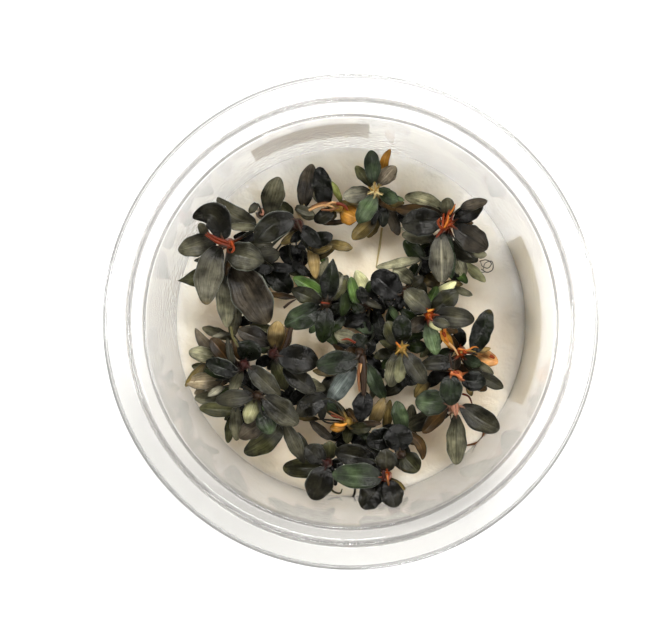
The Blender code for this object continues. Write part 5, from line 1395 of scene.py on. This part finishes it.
# Stem and stalk colours: dark and light
stemTones = {
    "orange": ("2A0C01", "883202"),
    "red": ("0C0302", "32100A"),
    "cream": ("7A6C40", "B4A274"),
    "brown": ("0E0804", "2C1C0E"),
    "pink": ("6C3824", "AA8068"),
    "peach": ("6A2E10", "B46C3E"),
    "yellow": ("4E3C14", "8E6E30"),
    "ember": ("260A02", "6C2406"),
    "flame": ("743808", "AC6824"),
    "amber": ("7E5014", "B87C2E"),
    "tan": ("6E4E2C", "A8845A"),
    "copper": ("2E1A0C", "6E4626"),
    "root": ("2A261C", "4A4436"),
    "olive": ("2E2A14", "54502C"),
}


def stemMaterial(colour, spec):
    # A fleshy stem, grown: satin skin with fine flecks, greener out along its stalks
    material, surface = newMaterial("fleshy_stem_" + colour)
    flecks = noiseField(material, objectPlace(material), 900.0, 4.0, {"Roughness": 0.65})    # 1.1 mm
    greened = blend(material, readLayer(material, "fade"), blend(material, flecks, *spec), "1A1A10")
    link = material.node_tree.links.new
    link(greened, surface.inputs["Base Color"])
    link(bumpFrom(material, flecks, 0.4, 0.15), surface.inputs["Normal"])
    surface.inputs["Roughness"].default_value = 0.4
    surface.inputs["IOR"].default_value = 1.42
    surface.inputs["Specular IOR Level"].default_value = 0.2
    surface.inputs["Subsurface Weight"].default_value = 0.15
    surface.inputs["Subsurface Radius"].default_value = (0.6 * mm, 0.3 * mm, 0.15 * mm)
    surface.inputs["Subsurface Scale"].default_value = 1.0
    return material


# Stage, light and camera

studio = {
    "floorSize": 6.0,
    "floorColour": "E2E2E1",
    "air": (    # height, from the horizon to overhead, and light there
        (0.0, 0.25), (0.12, 0.55), (0.35, 1.0), (0.75, 0.75), (0.92, 0.30), (1.0, 0.22)),
    "airStrength": 0.5,
    "softboxes": {    # place, size in metres, strength in watts
        "north": ((0.25, 0.85, 1.15), (0.8, 0.35), 28.0),
        "south": ((0.25, -1.0, 1.2), (0.4, 0.25), 13.0),
        "east": ((1.1, 0.2, 1.0), (0.4, 0.7), 15.0),
        "west": ((-1.2, 0.1, 0.9), (0.4, 0.7), 18.0),
    },
}


def makeStage():
    shape = bmesh.new()
    bmesh.ops.create_grid(shape, x_segments=4, y_segments=4, size=studio["floorSize"] / 2)
    mesh = bpy.data.meshes.new("studio_floor")
    shape.to_mesh(mesh)
    shape.free()
    floor = bpy.data.objects.new("studio_floor", mesh)
    bpy.context.scene.collection.objects.link(floor)
    material, surface = newMaterial("white_card_matte")    # plain white card under the cup
    surface.inputs["Base Color"].default_value = linear(studio["floorColour"])
    surface.inputs["Roughness"].default_value = 0.9
    surface.inputs["Specular IOR Level"].default_value = 0.1
    mesh.materials.append(material)
    floor.location.z = -0.05 * mm


def makeLights():
    world = bpy.data.worlds.new("studio_air")
    world.use_nodes = True
    nodes = world.node_tree.nodes
    link = world.node_tree.links.new
    air = nodes["Background"]    # brightest a third of the way up, dimmer overhead and at the horizon
    way = nodes.new("ShaderNodeTexCoord")
    split = nodes.new("ShaderNodeSeparateXYZ")
    ramp = nodes.new("ShaderNodeValToRGB")
    link(way.outputs["Generated"], split.inputs["Vector"])
    link(split.outputs["Z"], ramp.inputs["Fac"])
    for place, light in studio["air"]:
        stop = ramp.color_ramp.elements.new(place)
        stop.color = (light, light, light, 1.0)
    ramp.color_ramp.elements.remove(ramp.color_ramp.elements[0])
    link(ramp.outputs["Color"], air.inputs["Color"])
    air.inputs["Strength"].default_value = studio["airStrength"]
    seen = nodes.new("ShaderNodeBackground")    # what the camera sees behind the floor's edge
    seen.inputs["Color"].default_value = linear("FDFDFD")
    path = nodes.new("ShaderNodeLightPath")
    mixed = nodes.new("ShaderNodeMixShader")
    link(path.outputs["Is Camera Ray"], mixed.inputs["Fac"])
    link(air.outputs["Background"], mixed.inputs[1])
    link(seen.outputs["Background"], mixed.inputs[2])
    link(mixed.outputs["Shader"], nodes["World Output"].inputs["Surface"])
    bpy.context.scene.world = world
    for name, (place, size, strength) in studio["softboxes"].items():
        light = bpy.data.lights.new("softbox_" + name, "AREA")
        light.shape = "RECTANGLE"
        light.size, light.size_y = size
        light.energy = strength
        lamp = bpy.data.objects.new("softbox_" + name, light)
        lamp.location = place
        lamp.rotation_euler = (Vector((0, 0, 0.02)) - Vector(place)).to_track_quat("-Z", "Y").to_euler()
        lamp.visible_camera = False
        bpy.context.scene.collection.objects.link(lamp)


def makeCamera():
    width, height = eye["imageSize"]
    camera = bpy.data.cameras.new("eye")
    camera.sensor_width = eye["sensor"]
    camera.lens = eye["focalPixels"] * eye["sensor"] / width
    camera.shift_x = (width / 2 - eye["axisPixel"][0]) / width
    camera.shift_y = (eye["axisPixel"][1] - height / 2) / width
    camera.clip_start, camera.clip_end = 0.01, 20.0
    holder = bpy.data.objects.new("eye", camera)
    holder.location = (0.0, 0.0, eye["height"] * mm)
    bpy.context.scene.collection.objects.link(holder)
    bpy.context.scene.camera = holder
    bpy.context.scene.view_settings.view_transform = "Standard"


# Build

makeCamera()
makeLights()
makeStage()
print("stage: camera, softboxes and floor")

makeCup(plasticMaterial())
makeJelly(jellyMaterial())
for stripName, stripSpec in strips.items():
    makeStrip(stripName, stripSpec, paperMaterial(stripName, *stripSpec[4:]))
print("cup: walls, jelly and strips")

leafMaterials = {tone: leafMaterial(tone, spec) for tone, spec in leafTones.items()}
stemMaterials = {colour: stemMaterial(colour, spec) for colour, spec in stemTones.items()}
allLeaves = readLeaves()
stemTops = settle(allLeaves)
for plantletName in plantlets:
    grown = [leaf for leaf in allLeaves if leaf.plantlet == plantletName]
    makePlantlet(plantletName, grown, stemTops[plantletName], leafMaterials, stemMaterials)
for leaf in allLeaves:
    if leaf.own:
        makeOwnLeaf(leaf, leafMaterials)
print("plants:", len(plantlets), "stems and", len(allLeaves), "leaves")
